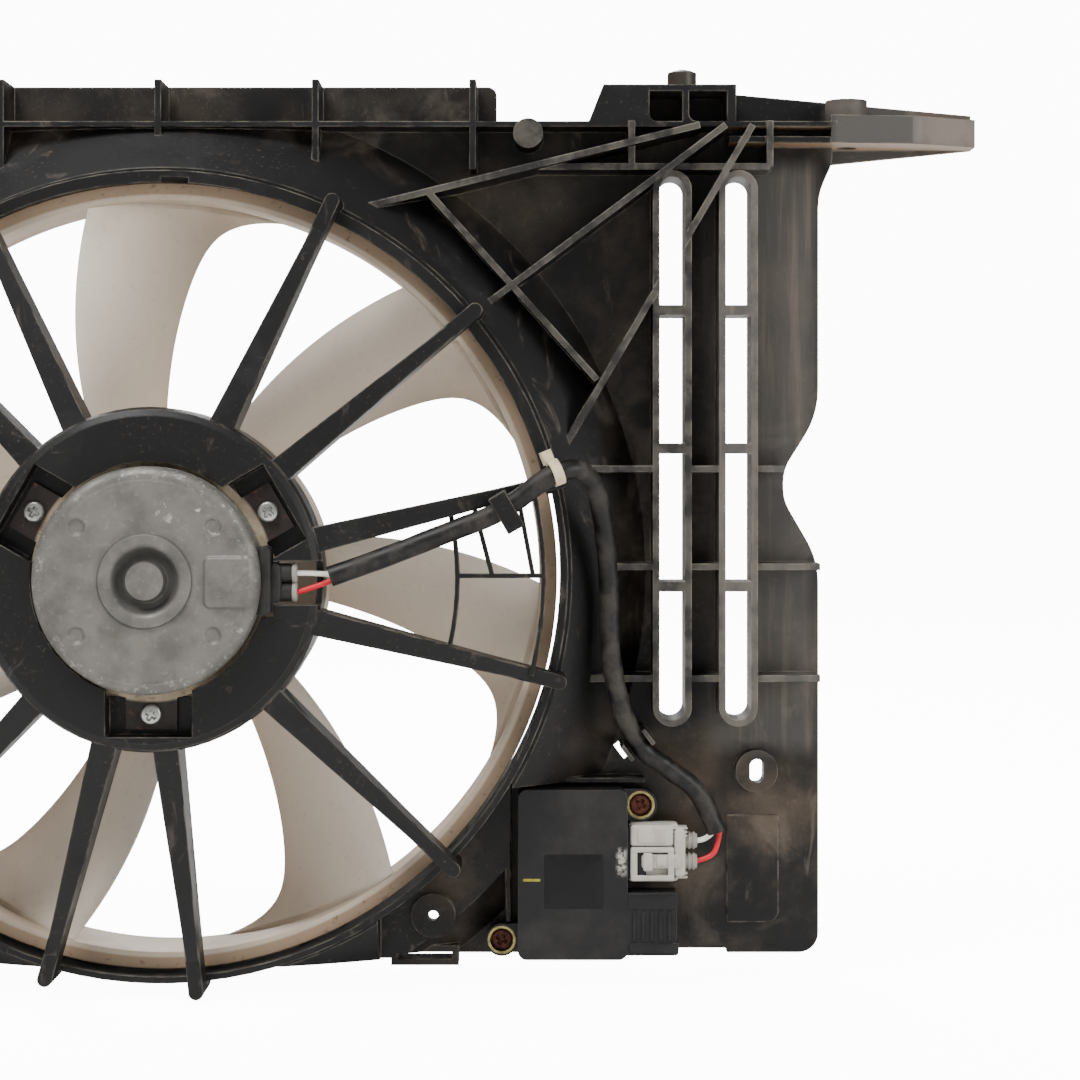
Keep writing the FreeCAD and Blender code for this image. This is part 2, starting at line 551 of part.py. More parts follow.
def make_beam():
    """The top beam: shelf, standing flange with its ribs and round boss."""
    shelf = ("panel_top - shelf_plate", "panel_top")
    flange_depth = ("beam_plate_depth - beam_plate", "beam_plate_depth")
    top = "panel_top + beam_high"
    left_end = "arm_tip + left_arm_tip - block_left"
    parts = [
        block("shelf", ("panel_left", "panel_right + neck_out"), ("panel_depth - skin", "shelf_depth"),
              shelf),
        plate("beam_flange", [(left_end, "panel_top - skin / 2"), ("beam_end", "panel_top - skin / 2"),
                              ("beam_end", top, "beam_corner_radius"),
                              (left_end, top, "beam_corner_radius")], flange_depth),
        round_bar("beam_boss", "beam_boss_radius", ("panel_depth - skin", "shelf_depth + beam_boss_rise"),
                  "beam_boss_centre", "beam_boss_level"),
    ]
    count = int((size("beam_rib_first") - size(left_end)) / size("beam_rib_pitch")) + 1
    for number in range(count):
        x = f"beam_rib_first - {number} * beam_rib_pitch"
        side = (f"{x} - rib_wall / 2", f"{x} + rib_wall / 2")
        parts.append(block(f"beam_rib_{number}", side, ("beam_plate_depth - beam_plate / 2", "shelf_depth"),
                           ("panel_top - skin / 2", top)))
        parts.append(block(f"beam_foot_{number}", side, ("panel_depth - skin / 2", "shelf_depth"),
                           ("beam_rib_foot", "panel_top - skin / 2")))
    return parts


def make_pin_block():
    """The block that carries the locating pin, with its two pockets open to the engine."""
    base = "panel_top - skin / 2"
    top = "panel_top + block_high"
    body = plate("pocket_block", [("block_left - block_ramp", base), ("block_right", base),
                                  ("block_right", top), ("block_left", top)],
                 ("block_back_depth", "block_front_depth"))
    roof = f"{top} - block_skin"
    pockets = []
    for number, (left, right) in enumerate((
            ("block_pocket_left", "block_pocket_split - block_skin / 2"),
            ("block_pocket_split + block_skin / 2", "block_pocket_right"))):
        pockets.append(plate(f"block_pocket_{number}", [
            (left, "panel_top", "block_pocket_radius"), (right, "panel_top"), (right, roof), (left, roof)],
            ("block_front_depth - block_pocket_deep", "block_front_depth + 1")))
    straight = upright_bar("locating_pin", "pin_radius", "pin_centre", "pin_depth",
                           (roof, f"{top} + pin_long + pin_radius"))
    dome = document.addObject("Part::Sphere", "pin_dome")
    bind(dome, Radius="pin_dome_radius")
    place(dome, "pin_centre", "pin_depth",
          f"{top} + pin_long - sqrt(pin_dome_radius ^ 2 - pin_radius ^ 2)")
    return [cut("pocketed_block", body, pockets), common("domed_pin", straight, dome)]


def make_arm():
    """The right-hand arm, a channel open to the top, with its screw boss."""
    base = "arm_tip_high - arm_flange_high"
    body = document.addObject("PartDesign::Body", "arm_plate_body")
    pad = body.newObject("PartDesign::Pad", "arm_plate_pad")
    pad.Profile = sketch_on(body, "XY_Plane", "arm_plate_outline", [
        ("block_right - block_skin", "-arm_root_back_depth"),
        ("block_right - block_skin", "-arm_root_front_depth"),
        ("arm_bend", "-arm_bend_front_depth"), ("arm_tip", "-arm_tip_front_depth"),
        ("arm_tip", "-arm_tip_back_depth")], base)
    bind(pad, Length="arm_plate")
    back = plate("arm_back_web", [("block_right - block_skin", "arm_root_low"),
                                  ("panel_right + neck_out", "arm_root_low"), ("arm_tip", base),
                                  ("arm_tip", "arm_tip_high + arm_tip_rise"),
                                  ("block_right", "panel_top + block_high"),
                                  ("block_right - block_skin", "panel_top + block_high")],
                 ("arm_root_back_depth + arm_plate", "arm_root_back_depth + 2 * arm_plate"))
    flange = document.addObject("PartDesign::Body", "arm_front_flange")
    drop = flange.newObject("PartDesign::Pad", "arm_flange_pad")
    drop.Profile = sketch_on(flange, "XY_Plane", "arm_flange_outline", [
        ("panel_right + neck_out - skin", "-arm_root_front_depth + arm_plate"),
        ("panel_right + neck_out - skin", "-arm_root_front_depth"),
        ("arm_bend", "-arm_bend_front_depth"), ("arm_tip", "-arm_tip_front_depth"),
        ("arm_tip", "-arm_tip_front_depth + arm_plate"),
        ("arm_bend", "-arm_bend_front_depth + arm_plate")], "arm_tip_high - arm_flange_high")
    bind(drop, Length="arm_flange_high")
    boss = upright_bar("arm_boss", "arm_boss_radius", "arm_hole_centre", "arm_hole_depth",
                       (base, "arm_tip_high + arm_boss_high"))
    hole = upright_bar("arm_hole", "arm_hole_radius", "arm_hole_centre", "arm_hole_depth",
                       (f"{base} - 1", "arm_tip_high + arm_boss_high + 1"))
    return cut("bored_arm", fused("arm", [body, back, flange, boss]), [hole])


def make_spokes():
    """The spokes from the carrier skirt to the barrel, each with the foot that grips the barrel."""
    parts = []
    for number, angle in enumerate(SPOKE_ANGLES):
        spoke = document.addObject("Part::Wedge", f"spoke_{number}")
        bind(spoke, Xmin="-spoke_root_wide / 2", Xmax="spoke_root_wide / 2",
             X2min="-spoke_tip_wide / 2", X2max="spoke_tip_wide / 2",
             Ymin="carrier_radius - carrier_wall / 2", Ymax=f"{BARREL_OUTER} - spoke_sink",
             Zmin="carrier_depth - spoke_root_deep", Zmax="carrier_depth - carrier_edge / 2",
             Z2min="barrel_depth - lip_thick", Z2max="spoke_tip_depth")
        parts.append(place(spoke, tilt=f"90 - {angle}", roll="90"))
        parts.append(spoke_block(f"stub_{number}", angle, ("barrel_bore_radius - stub_reach", STUB_END),
                                 ("-stub_wide / 2", "stub_wide / 2"),
                                 ("barrel_depth + 1", "spoke_tip_depth + stub_rise")))
        parts.append(round_bar(f"stub_foot_{number}", "stub_wide / 2",
                               ("stub_foot_depth", "spoke_tip_depth + stub_rise"),
                               f"{STUB_END} * cos({angle})", f"{STUB_END} * sin({angle})"))
    return parts


def make_carrier():
    """The dish that holds the motor: plate, skirt and the three pockets for the motor's ears."""
    bore = "can_radius + motor_hole_gap"
    dish = turned("carrier_dish", [
        (bore, "carrier_depth"), ("carrier_radius - carrier_edge", "carrier_depth"),
        (f"carrier_radius - carrier_edge * {EDGE_SHARE}", f"carrier_depth - carrier_edge * {EDGE_SHARE}"),
        ("carrier_radius", "carrier_depth - carrier_edge"),
        ("carrier_radius", "carrier_depth - carrier_skirt"),
        ("carrier_radius - carrier_wall", "carrier_depth - carrier_skirt"),
        ("carrier_radius - carrier_wall", "carrier_depth - carrier_wall"),
        (bore, "carrier_depth - carrier_wall")])
    half = "pocket_wide / 2"
    floor = ("pocket_floor_depth - pocket_wall", "pocket_floor_depth")
    tubs, mouths, holes = [], [], []
    for number, angle in enumerate(EAR_ANGLES):
        tubs.append(spoke_block(f"tub_{number}", angle, (bore, "pocket_outer_radius + pocket_wall"),
                                (f"-{half} - pocket_wall", f"{half} + pocket_wall"),
                                (floor[0], "carrier_depth - carrier_wall / 2")))
        mouths.append(spoke_block(f"mouth_{number}", angle,
                                  ("can_radius - pocket_wall", "pocket_outer_radius"),
                                  (f"-{half}", half), (floor[1], "carrier_depth + 1")))
        holes.append(round_bar(f"ear_screw_hole_{number}", "motor_screw_radius",
                               (f"{floor[0]} - 1", f"{floor[1]} + 1"),
                               f"motor_screw_circle * cos({angle})",
                               f"motor_screw_circle * sin({angle})"))
    lead = "grommet_radius + cap_gap"
    notches = [
        block("lead_notch", ("can_radius - can_wall", "carrier_radius + 1"),
              ("cap_rear_depth - cap_gap", "carrier_depth + 1"),
              (f"grommet_low - ({lead})", f"grommet_high + {lead}")),
        block("cap_notch", ("can_radius - 2 * can_rim_radius", "cap_right + cap_gap"),
              ("cap_rear_depth - cap_gap", "carrier_depth + 1"),
              ("cap_low - cap_gap", "cap_high + cap_gap")),
    ]
    return cut("carrier", fused("carrier_solid", [dish] + tubs), mouths + holes + notches)


def make_guard():
    """The finger guard beside the motor lead: two arcs and three thin bars between two spokes."""
    depth = ("guard_depth - guard_high", "guard_depth")
    arcs = []
    for name, radius in (("inner", "guard_inner_radius"), ("outer", GUARD_OUTER)):
        disc = sector(f"guard_{name}", f"{radius} + guard_bar / 2", depth,
                      f"{SPOKE_ANGLES[-1]} - 360", SPOKE_ANGLES[0])
        bore = round_bar(f"guard_{name}_bore", f"{radius} - guard_bar / 2",
                         ("guard_depth - guard_high - 1", "guard_depth + 1"))
        arcs.append(cut(f"guard_{name}_arc", disc, [bore]))
    level = "guard_bar_level"
    bars = [wall("guard_bar_long", ("guard_inner_radius", level), (GUARD_OUTER, level),
                 depth, "guard_bar")]
    for name in ("first", "next"):
        bars.append(wall(f"guard_bar_{name}", (f"guard_{name}_bar_low", level),
                         (f"guard_{name}_bar_high", f"guard_{name}_bar_rise"), depth, "guard_bar"))
    return arcs + bars


def make_bosses():
    """The screw boss, slotted boss, hook frame, raised field, controller posts and panel clip."""
    start = "panel_depth - skin / 2"
    parts = [
        round_bar("low_boss", "low_boss_radius", (start, "low_boss_depth"),
                  "low_boss_centre", "low_boss_level"),
        round_bar("slot_boss", "slot_boss_radius", (start, "slot_boss_depth"),
                  "slot_boss_centre", "slot_boss_level"),
        block("hook_frame", ("hook_left - hook_frame", "hook_right + hook_frame"),
              ("panel_depth - skin", "hook_depth"),
              ("hook_level - hook_frame - hook_high / 2", "hook_level + hook_high / 2 + hook_frame")),
        plate("raised_field", [("raised_left", "raised_low"), ("raised_right", "raised_low", "raised_radius"),
                               ("raised_right", "raised_high"), ("raised_left", "raised_high")],
              (start, "panel_depth + raised_thick")),
    ]
    for name in ("high", "low"):
        parts.append(round_bar(f"controller_post_{name}", "post_radius",
                               (start, "case_rear_depth"), f"ear_{name}_x", f"ear_{name}_z"))
    return parts + sleeve_clip("panel_clip", PANEL_CLIP_NUMBER, start)


def route_bend(points, number):
    """The start, middle and end of a route's arc at one of its corners, and the arc's radius."""
    before, corner, after = [Vector(x, -depth, z) for x, depth, z in points[number - 1:number + 2]]
    back = (before - corner).normalize()
    ahead = (after - corner).normalize()
    half_turn = (math.pi - back.getAngle(ahead)) / 2
    reach = ARC_SHARE * min(before.distanceToPoint(corner), after.distanceToPoint(corner))
    radius = reach / math.tan(half_turn)
    centre = corner + (back + ahead).normalize() * (radius / math.cos(half_turn))
    middle = centre + (corner - centre).normalize() * radius
    return corner + back * reach, middle, corner + ahead * reach, radius


def clip_frame(corner):
    """Where a clip holds the sleeve at a corner of its route: the point, its run and its side."""
    start, middle, end, _ = route_bend(SLEEVE_ROUTE, corner)
    run = Vector(end.x - start.x, 0, end.z - start.z).normalize()
    return middle, run, Vector(-run.z, 0, run.x)


def sleeve_clip(name, corner, foot):
    """Two jaws that hold the sleeve at one corner of its route, on a foot at a given depth."""
    middle, run, side = clip_frame(corner)
    jaws = []
    for sign in (-1, 1):
        out = f"{sign} * (sleeve_radius + clip_gap + clip_wall / 2)"
        ends = [(f"{middle.x} + {side.x} * {out} + {step * run.x} * clip_long / 2",
                 f"{middle.z} + {side.z} * {out} + {step * run.z} * clip_long / 2") for step in (-1, 1)]
        jaws.append(wall(f"{name}_jaw_{sign + 1}", ends[0], ends[1],
                         (foot, f"{-middle.y} + sleeve_radius + clip_gap + clip_wall / 2"), "clip_wall"))
    return jaws


def make_arm_clip():
    """The clip beside the finger guard: a flat arm from the spoke above it, two jaws and a strap."""
    middle, run, side = clip_frame(ARM_CLIP_NUMBER)
    under = f"{-middle.y} - sleeve_radius - clip_gap"
    over = f"{-middle.y} + sleeve_radius + clip_gap"
    reach = "(sleeve_radius + clip_gap + clip_wall)"
    tail = (f"{middle.x} - {side.x} * ({reach} + clip_tail)",
            f"{middle.z} - {side.z} * ({reach} + clip_tail)")
    spoke = math.tan(math.radians(SPOKE_ANGLES[0]))
    arm = wall("clip_arm", (f"{middle.x} - {side.x} * {reach}", f"{middle.z} - {side.z} * {reach}"),
               (f"{middle.x} + {side.x} * {reach}", f"{middle.z} + {side.z} * {reach}"),
               (f"{under} - clip_wall", under), "clip_long")
    foot = wall("clip_foot", (f"{middle.x}", f"{middle.z}"), (f"{middle.x}", f"{middle.x * spoke}"),
                (f"{under} - clip_wall", under), "clip_long")
    strap = wall("clip_strap", tail,
                 (f"{middle.x} + {side.x} * {reach}", f"{middle.z} + {side.z} * {reach}"),
                 (over, f"{over} + clip_wall"), "clip_long")
    jaws = sleeve_clip("arm_clip", ARM_CLIP_NUMBER, f"{under} - clip_wall")
    return [arm, foot, strap] + jaws


def make_openings():
    """What is cut through the finished moulding."""
    through = ("-1", "carrier_depth")
    half_wide = "slot_boss_wide / 2"
    half_high = "slot_boss_high / 2 - slot_boss_wide / 2"
    tools = [
        round_bar("fan_opening", "barrel_bore_radius", ("-1", "barrel_depth - lip_thick")),
        round_bar("low_boss_hole", "low_boss_bore", through, "low_boss_centre", "low_boss_level"),
        block("slot_hole", (f"slot_boss_centre - {half_wide}", f"slot_boss_centre + {half_wide}"), through,
              (f"slot_boss_level - ({half_high})", f"slot_boss_level + {half_high}")),
        block("hook_slot", ("hook_left", "hook_right"), through,
              ("hook_level - hook_high / 2", "hook_level + hook_high / 2")),
        block("controller_window", ("case_left + window_gap", "case_right - window_gap"),
              ("-1", "case_rear_depth"), ("case_low + window_gap + case_wall", "case_high - window_gap")),
    ]
    for side in ("-", "+"):
        tools.append(round_bar(f"slot_hole_end_{len(tools)}", half_wide, through, "slot_boss_centre",
                               f"slot_boss_level {side} ({half_high})"))
    for name in ("high", "low"):
        tools.append(round_bar(f"controller_screw_hole_{name}", "screw_radius",
                               ("case_rear_depth + ear_thick - screw_deep", "case_rear_depth + 1"),
                               f"ear_{name}_x", f"ear_{name}_z"))
    middle, run, side = clip_frame(PANEL_CLIP_NUMBER)
    out = "(sleeve_radius + clip_gap + clip_wall + clip_slit_wide / 2)"
    ends = [(f"{middle.x} + {side.x} * -1 * {out} + {step * run.x} * clip_slit_long / 2",
             f"{middle.z} + {side.z} * -1 * {out} + {step * run.z} * clip_slit_long / 2") for step in (-1, 1)]
    tools.append(wall("clip_slit", ends[0], ends[1], ("-1", "panel_depth + 1"), "clip_slit_wide"))
    return tools + slot_boxes("slot_window", "0", through, True)


def make_shroud():
    """The one-piece moulding: panel, barrel, ribs, beam, arms, spokes, carrier and guard."""
    right_mount = fused("right_mount", [make_arm()] + make_pin_block())
    left_mount = document.addObject("Part::Mirroring", "left_mount")
    left_mount.Source = right_mount
    left_mount.Normal = Vector(1, 0, 0)
    bind(left_mount, Base__x="(arm_tip + left_arm_tip) / 2")
    ducts = slot_boxes("slot_duct", "slot_lip", ("panel_depth - skin / 2", "slot_duct_depth"), False)
    barrel, flare_hollow = make_barrel()
    standing = [make_panel()] + barrel + make_ribs() + make_beam() + ducts + make_bosses()
    hollow = cut("opened_panel", fused("panel_with_walls", standing), make_openings() + [flare_hollow])
    stay = [make_carrier()] + make_spokes() + make_guard() + make_arm_clip()
    return node(fused("shroud", [hollow, right_mount, left_mount] + stay), "fan_shroud")


def left_turning_arc(first, middle, last):
    """An arc through three points that runs anticlockwise, as a sketch expects."""
    if (middle - first).cross(last - middle).z < 0:
        first, last = last, first
    return Part.Arc(first, middle, last)


def blade_section(body, name, radius, wide, centre):
    """One section of a blade on a plane across its radius: two arcs a blade's thickness apart."""
    plane = [feature for feature in body.Origin.OriginFeatures if feature.Role == "YZ_Plane"][0]
    sketch = body.newObject("Sketcher::SketchObject", name)
    sketch.AttachmentSupport = [(plane, "")]
    sketch.MapMode = "FlatFace"
    bind(sketch, AttachmentOffset__Base__z=radius)
    low, high = f"{centre} - {wide} / 2", f"{centre} + {wide} / 2"
    ends = [("-blade_front_depth", low), ("-blade_rear_depth", high),
            ("-blade_rear_depth + blade_thick", f"{high} + blade_thick / 2"),
            ("-blade_front_depth + blade_thick", f"{low} + blade_thick / 2")]
    points = [Vector(size(along), size(across), 0) for along, across in ends]
    chord = f"hypot({wide}; blade_rear_depth - blade_front_depth)"
    radius_rule = f"({chord} ^ 2 / 4 + blade_camber ^ 2) / (2 * blade_camber)"
    bulge = (points[1] - points[0]).cross(Vector(0, 0, 1)).normalize() * size("blade_camber")
    sketch.addGeometry(left_turning_arc(points[0], (points[0] + points[1]) / 2 + bulge, points[1]))
    sketch.addGeometry(Part.LineSegment(points[1], points[2]))
    sketch.addGeometry(left_turning_arc(points[2], (points[2] + points[3]) / 2 + bulge, points[3]))
    sketch.addGeometry(Part.LineSegment(points[3], points[0]))
    joints = [(0, points[0]), (0, points[1]), (2, points[2]), (2, points[3])]
    corner_of = []
    for arc, point in joints:
        start = sketch.Geometry[arc].StartPoint
        corner_of.append((arc, 1 if start.distanceToPoint(point) < 1e-6 else 2))
    for line, (first, second) in ((1, (1, 2)), (3, (3, 0))):
        sketch.addConstraint(Sketcher.Constraint("Coincident", line, 1, *corner_of[first]))
        sketch.addConstraint(Sketcher.Constraint("Coincident", line, 2, *corner_of[second]))
    for number, (corner, end) in enumerate(zip(corner_of, ends)):
        for kind, expression in zip(("DistanceX", "DistanceY"), end):
            constraint = Sketcher.Constraint(kind, -1, 1, corner[0], corner[1], size(expression))
            tie(sketch, constraint, f"end{number}{kind[-1]}", expression)
    for arc in (0, 2):
        tie(sketch, Sketcher.Constraint("Radius", arc, size(radius_rule)), f"camber{arc}", radius_rule)
    return sketch


def make_fan():
    """The ring fan: hub cup, swept blades in a circle and the ring with its inlet flange."""
    body = document.addObject("PartDesign::Body", "fan_body")
    revolve(body, "Revolution", "hub_blank", [
        ("insert_radius + insert_gap", "hub_face_depth"),
        ("hub_radius - hub_edge", "hub_face_depth"),
        (f"hub_radius - hub_edge * {EDGE_SHARE}", f"hub_face_depth + hub_edge * {EDGE_SHARE}"),
        ("hub_radius", "hub_face_depth + hub_edge"), ("hub_radius", "hub_rear_depth"),
        ("insert_radius + insert_gap", "hub_rear_depth")])
    stations = [("root", "hub_radius - blade_sink"), ("mid", "blade_mid_radius"),
                ("outer", "blade_outer_radius"), ("tip", f"{RING_INNER} + blade_sink")]
    sections = [blade_section(body, f"blade_{name}", radius, f"blade_{name}_wide",
                              f"blade_{name}_centre") for name, radius in stations]
    blade = body.newObject("PartDesign::AdditiveLoft", "blade")
    blade.Profile = sections[0]
    blade.Sections = sections[1:]
    blade.Ruled = True
    document.recompute()
    ring = body.newObject("PartDesign::PolarPattern", "blade_circle")
    ring.Originals = [blade]
    axis = [feature for feature in body.Origin.OriginFeatures if feature.Role == "Y_Axis"][0]
    ring.Axis = (axis, [""])
    ring.Angle = 360
    bind(ring, Occurrences="blades")
    body.Tip = ring
    revolve(body, "Groove", "trim_outside", [
        (f"{RING_INNER} + fan_ring_wall / 2", "0"), (f"{FUNNEL_FOOT} + 1", "0"),
        (f"{FUNNEL_FOOT} + 1", "barrel_depth"), (f"{RING_INNER} + fan_ring_wall / 2", "barrel_depth")])
    revolve(body, "Groove", "hub_inside", [
        ("hub_boss_radius", "hub_face_depth + hub_wall"),
        ("hub_radius - hub_edge", "hub_face_depth + hub_wall"),
        ("hub_radius - hub_wall", "hub_face_depth + hub_edge"),
        ("hub_radius - hub_wall", "hub_rear_depth + 1"), ("0", "hub_rear_depth + 1"),
        ("0", "hub_boss_rear_depth"), ("hub_boss_radius", "hub_boss_rear_depth")])
    revolve(body, "Revolution", "fan_ring", [
        (RING_INNER, "fan_ring_front_depth"), (FLANGE_RADIUS, "fan_ring_front_depth"),
        (FLANGE_RADIUS, "fan_ring_front_depth + fan_flange_thick"),
        (RING_OUTER, "fan_ring_front_depth + fan_flange_thick"), (RING_OUTER, "fan_ring_rear_depth"),
        (RING_INNER, "fan_ring_rear_depth")])
    node(body, "fan")
    bore = "shaft_radius + press_gap"
    node(tube_on_axis("hub_insert", bore, "insert_radius", ("hub_face_depth", "hub_boss_rear_depth")),
         "hub_insert")
    washer = ("hub_face_depth - washer_thick", "hub_face_depth")
    node(tube_on_axis("washer", bore, "washer_radius", washer), "fan_washer")
    nut = document.addObject("Part::Prism", "nut_blank")
    nut.Polygon = 6
    bind(nut, Circumradius="nut_across_flats / sqrt(3)", Height="nut_high")
    place(nut, depth=f"{washer[0]} - nut_high", roll="90")
    hole = round_bar("nut_bore", bore, (f"{washer[0]} - nut_high - 1", washer[0] + " + 1"))
    node(cut("nut", nut, [hole]), "fan_nut")


def make_motor_housing():
    """The deep-drawn can, the front cover, the mounting ring with three ears and the screws."""
    rear = "can_rear_depth"
    inner = "can_radius - can_wall"
    recess = f"{rear} - can_recess_deep"
    seat = "rear_bearing_radius + press_gap"
    can = turned("can", [
        ("can_radius", "can_front_depth"), ("can_radius", f"{rear} - can_rim_radius"),
        (f"can_radius - can_rim_radius * {EDGE_SHARE}", f"{rear} - can_rim_radius * {EDGE_SHARE}"),
        ("can_radius - can_rim_radius", rear),
        ("can_step_radius", rear), ("can_step_radius", f"{rear} + can_step_high"),
        ("can_recess_radius", f"{rear} + can_step_high"), ("can_recess_radius", recess),
        ("can_boss_radius", recess), ("can_boss_radius", f"{rear} + can_step_high"),
        ("0", f"{rear} + can_step_high"), ("0", f"{rear} - can_step_high / 2"),
        (seat, f"{rear} - can_step_high / 2"), (seat, f"{recess} - can_wall"),
        (f"{inner} - can_wall", f"{recess} - can_wall"), (inner, f"{recess} - 2 * can_wall"),
        (inner, "can_front_depth")])
    dents = [round_bar(f"dimple_{number}", "dimple_radius", (f"{rear} - dimple_deep", f"{rear} + 1"),
                       f"dimple_circle * cos({turn})", f"dimple_circle * sin({turn})")
             for number, turn in enumerate(("dimple_angle", "180 - dimple_angle",
                                            "180 + dimple_angle", "-dimple_angle"))]
    pad = block("lead_pad", ("pad_left", "can_radius - can_rim_radius"),
                (f"{rear} - can_wall / 2", f"{rear} + pad_thick"), ("pad_low", "pad_high"))
    window = block("lead_window", ("can_radius - 2 * can_rim_radius", "can_radius + 1"),
                   ("lead_front_depth", "lead_rear_depth"), ("lead_low", "lead_high"))
    node(cut("drawn_can", fused("can_with_pad", [can, pad]), dents + [window]), "motor_can")
    step = "can_front_depth + cover_flange"
    pocket = "front_bearing_radius + press_gap"
    node(turned("front_cover", [
        ("shaft_radius + shaft_room", "can_front_depth"), (f"{inner} - press_gap", "can_front_depth"),
        (f"{inner} - press_gap", step), (f"{pocket} + can_wall", step),
        (f"{pocket} + can_wall", "can_front_depth + can_wall + front_bearing_long"),
        (pocket, "can_front_depth + can_wall + front_bearing_long"),
        (pocket, "can_front_depth + can_wall"), ("shaft_radius + shaft_room", "can_front_depth + can_wall")]),
        "motor_front_cover")
    depth = ("pocket_floor_depth", "pocket_floor_depth + ear_plate")
    ears = [spoke_block(f"ear_{number}", angle, ("can_radius + 1", "ear_end_radius"),
                        ("-ear_wide / 2", "ear_wide / 2"), depth)
            for number, angle in enumerate(EAR_ANGLES)]
    holes = [round_bar(f"ear_hole_{number}", "motor_screw_radius + motor_screw_gap",
                       (f"{depth[0]} - 1", f"{depth[1]} + 1"), f"motor_screw_circle * cos({angle})",
                       f"motor_screw_circle * sin({angle})")
             for number, angle in enumerate(EAR_ANGLES)]
    ring = tube_on_axis("ear_ring", "can_radius + press_gap", "ear_ring_radius", depth)
    node(cut("mounting_ring", fused("eared_ring", [ring] + ears), holes), "motor_mounting_ring")
    screws = []
    for number, angle in enumerate(EAR_ANGLES):
        x, z = f"motor_screw_circle * cos({angle})", f"motor_screw_circle * sin({angle})"
        head = round_bar(f"motor_screw_head_{number}", "motor_screw_head_radius",
                         (depth[1], f"{depth[1]} + motor_screw_head_high"), x, z)
        shank = round_bar(f"motor_screw_shank_{number}", "motor_screw_radius - press_gap",
                          (f"{depth[0]} - motor_screw_under", depth[1]), x, z)
        screws.append(fused(f"motor_screw_{number}", [head, shank]))
    node(grouped("motor_screw_set", screws), "motor_screws")


def make_motor_inside():
    """Magnets, bearings and brush gear in the can, and what turns on the shaft."""
    inner = "can_radius - can_wall - magnet_gap"
    face = f"{inner} - magnet_thick"
    magnet_depth = ("magnet_front_depth", "magnet_rear_depth")
    magnets = []
    for number in range(4):
        start = f"{FIRST_MAGNET + 90 * number} - magnet_arc / 2"
        segment = sector(f"magnet_{number}", inner, magnet_depth, start, f"{start} + magnet_arc")
        hollow = round_bar(f"magnet_bore_{number}", face,
                           ("magnet_front_depth - 1", "magnet_rear_depth + 1"))
        magnets.append(cut(f"magnet_arc_{number}", segment, [hollow]))
    node(grouped("magnet_set", magnets), "motor_magnets")
    running = "shaft_radius + running_gap"
    front = "can_front_depth + can_wall"
    node(tube_on_axis("front_ring", running, "front_bearing_radius",
                      (front, f"{front} + front_bearing_long")), "front_bearing")
    back = "can_rear_depth - can_step_high / 2"
    node(tube_on_axis("rear_ring", running, "rear_bearing_radius",
                      (f"{back} - rear_bearing_long", back)), "rear_bearing")
    plate_depth = ("commutator_rear_depth", "commutator_rear_depth + holder_plate")
    holder = tube_on_axis("holder_ring", "commutator_radius + holder_hole_gap",
                          "can_radius - can_wall - holder_gap", plate_depth)
    brush_depth = ("commutator_rear_depth - brush_high", "commutator_rear_depth")
    near = "commutator_radius + brush_gap"
    far = f"{near} + brush_long"
    stop = f"{far} + brush_spring_long"
    lugs, brushes, springs = [], [], []
    for number in range(int(size("brushes"))):
        angle = 360 * number / int(size("brushes"))
        half = "brush_wide / 2"
        lugs.append(spoke_block(f"lug_{number}", angle, (stop, f"{stop} + holder_lug"),
                                (f"-{half}", half), (brush_depth[0], plate_depth[1])))
        brushes.append(spoke_block(f"brush_{number}", angle, (near, far), (f"-{half}", half), brush_depth))
        spring = document.addObject("Part::Cylinder", f"brush_spring_{number}")
        bind(spring, Radius="brush_spring_radius", Height="brush_spring_long")
        springs.append(place(spring, f"({far}) * cos({angle})", "commutator_rear_depth - brush_high / 2",
                             f"({far}) * sin({angle})", tilt=f"90 - {angle}"))
    node(fused("holder", [holder] + lugs), "brush_holder")
    node(grouped("brush_set", brushes), "brushes")
    node(grouped("brush_spring_set", springs), "brush_springs")
    bore = "shaft_radius + press_gap"
    core_radius = f"{face} - rotor_gap"
    core_depth = ("core_front_depth", "core_rear_depth")
    core = tube_on_axis("core_blank", bore, core_radius, core_depth)
    slots = []
    for number in range(int(size("core_slots"))):
        angle = 360 * number / int(size("core_slots"))
        slots.append(spoke_block(f"core_slot_{number}", angle,
                                 (f"{core_radius} - core_slot_deep", f"{core_radius} + 1"),
                                 ("-core_slot_wide / 2", "core_slot_wide / 2"),
                                 ("core_front_depth - 1", "core_rear_depth + 1")))
    node(cut("core", core, slots), "armature_core")
    ends = [("front", ("core_front_depth - winding_long", "core_front_depth")),
            ("rear", ("core_rear_depth", "core_rear_depth + winding_long"))]
    node(grouped("winding_set", [tube_on_axis(f"winding_{name}", "winding_inner_radius",
                                              f"{core_radius} - winding_inset", depth)
                                 for name, depth in ends]), "armature_windings")
    node(tube_on_axis("commutator_ring", bore, "commutator_radius",
                      ("commutator_front_depth", "commutator_rear_depth")), "commutator")
    node(round_bar("shaft", "shaft_radius", ("shaft_nose_depth", "shaft_rear_depth")), "motor_shaft")


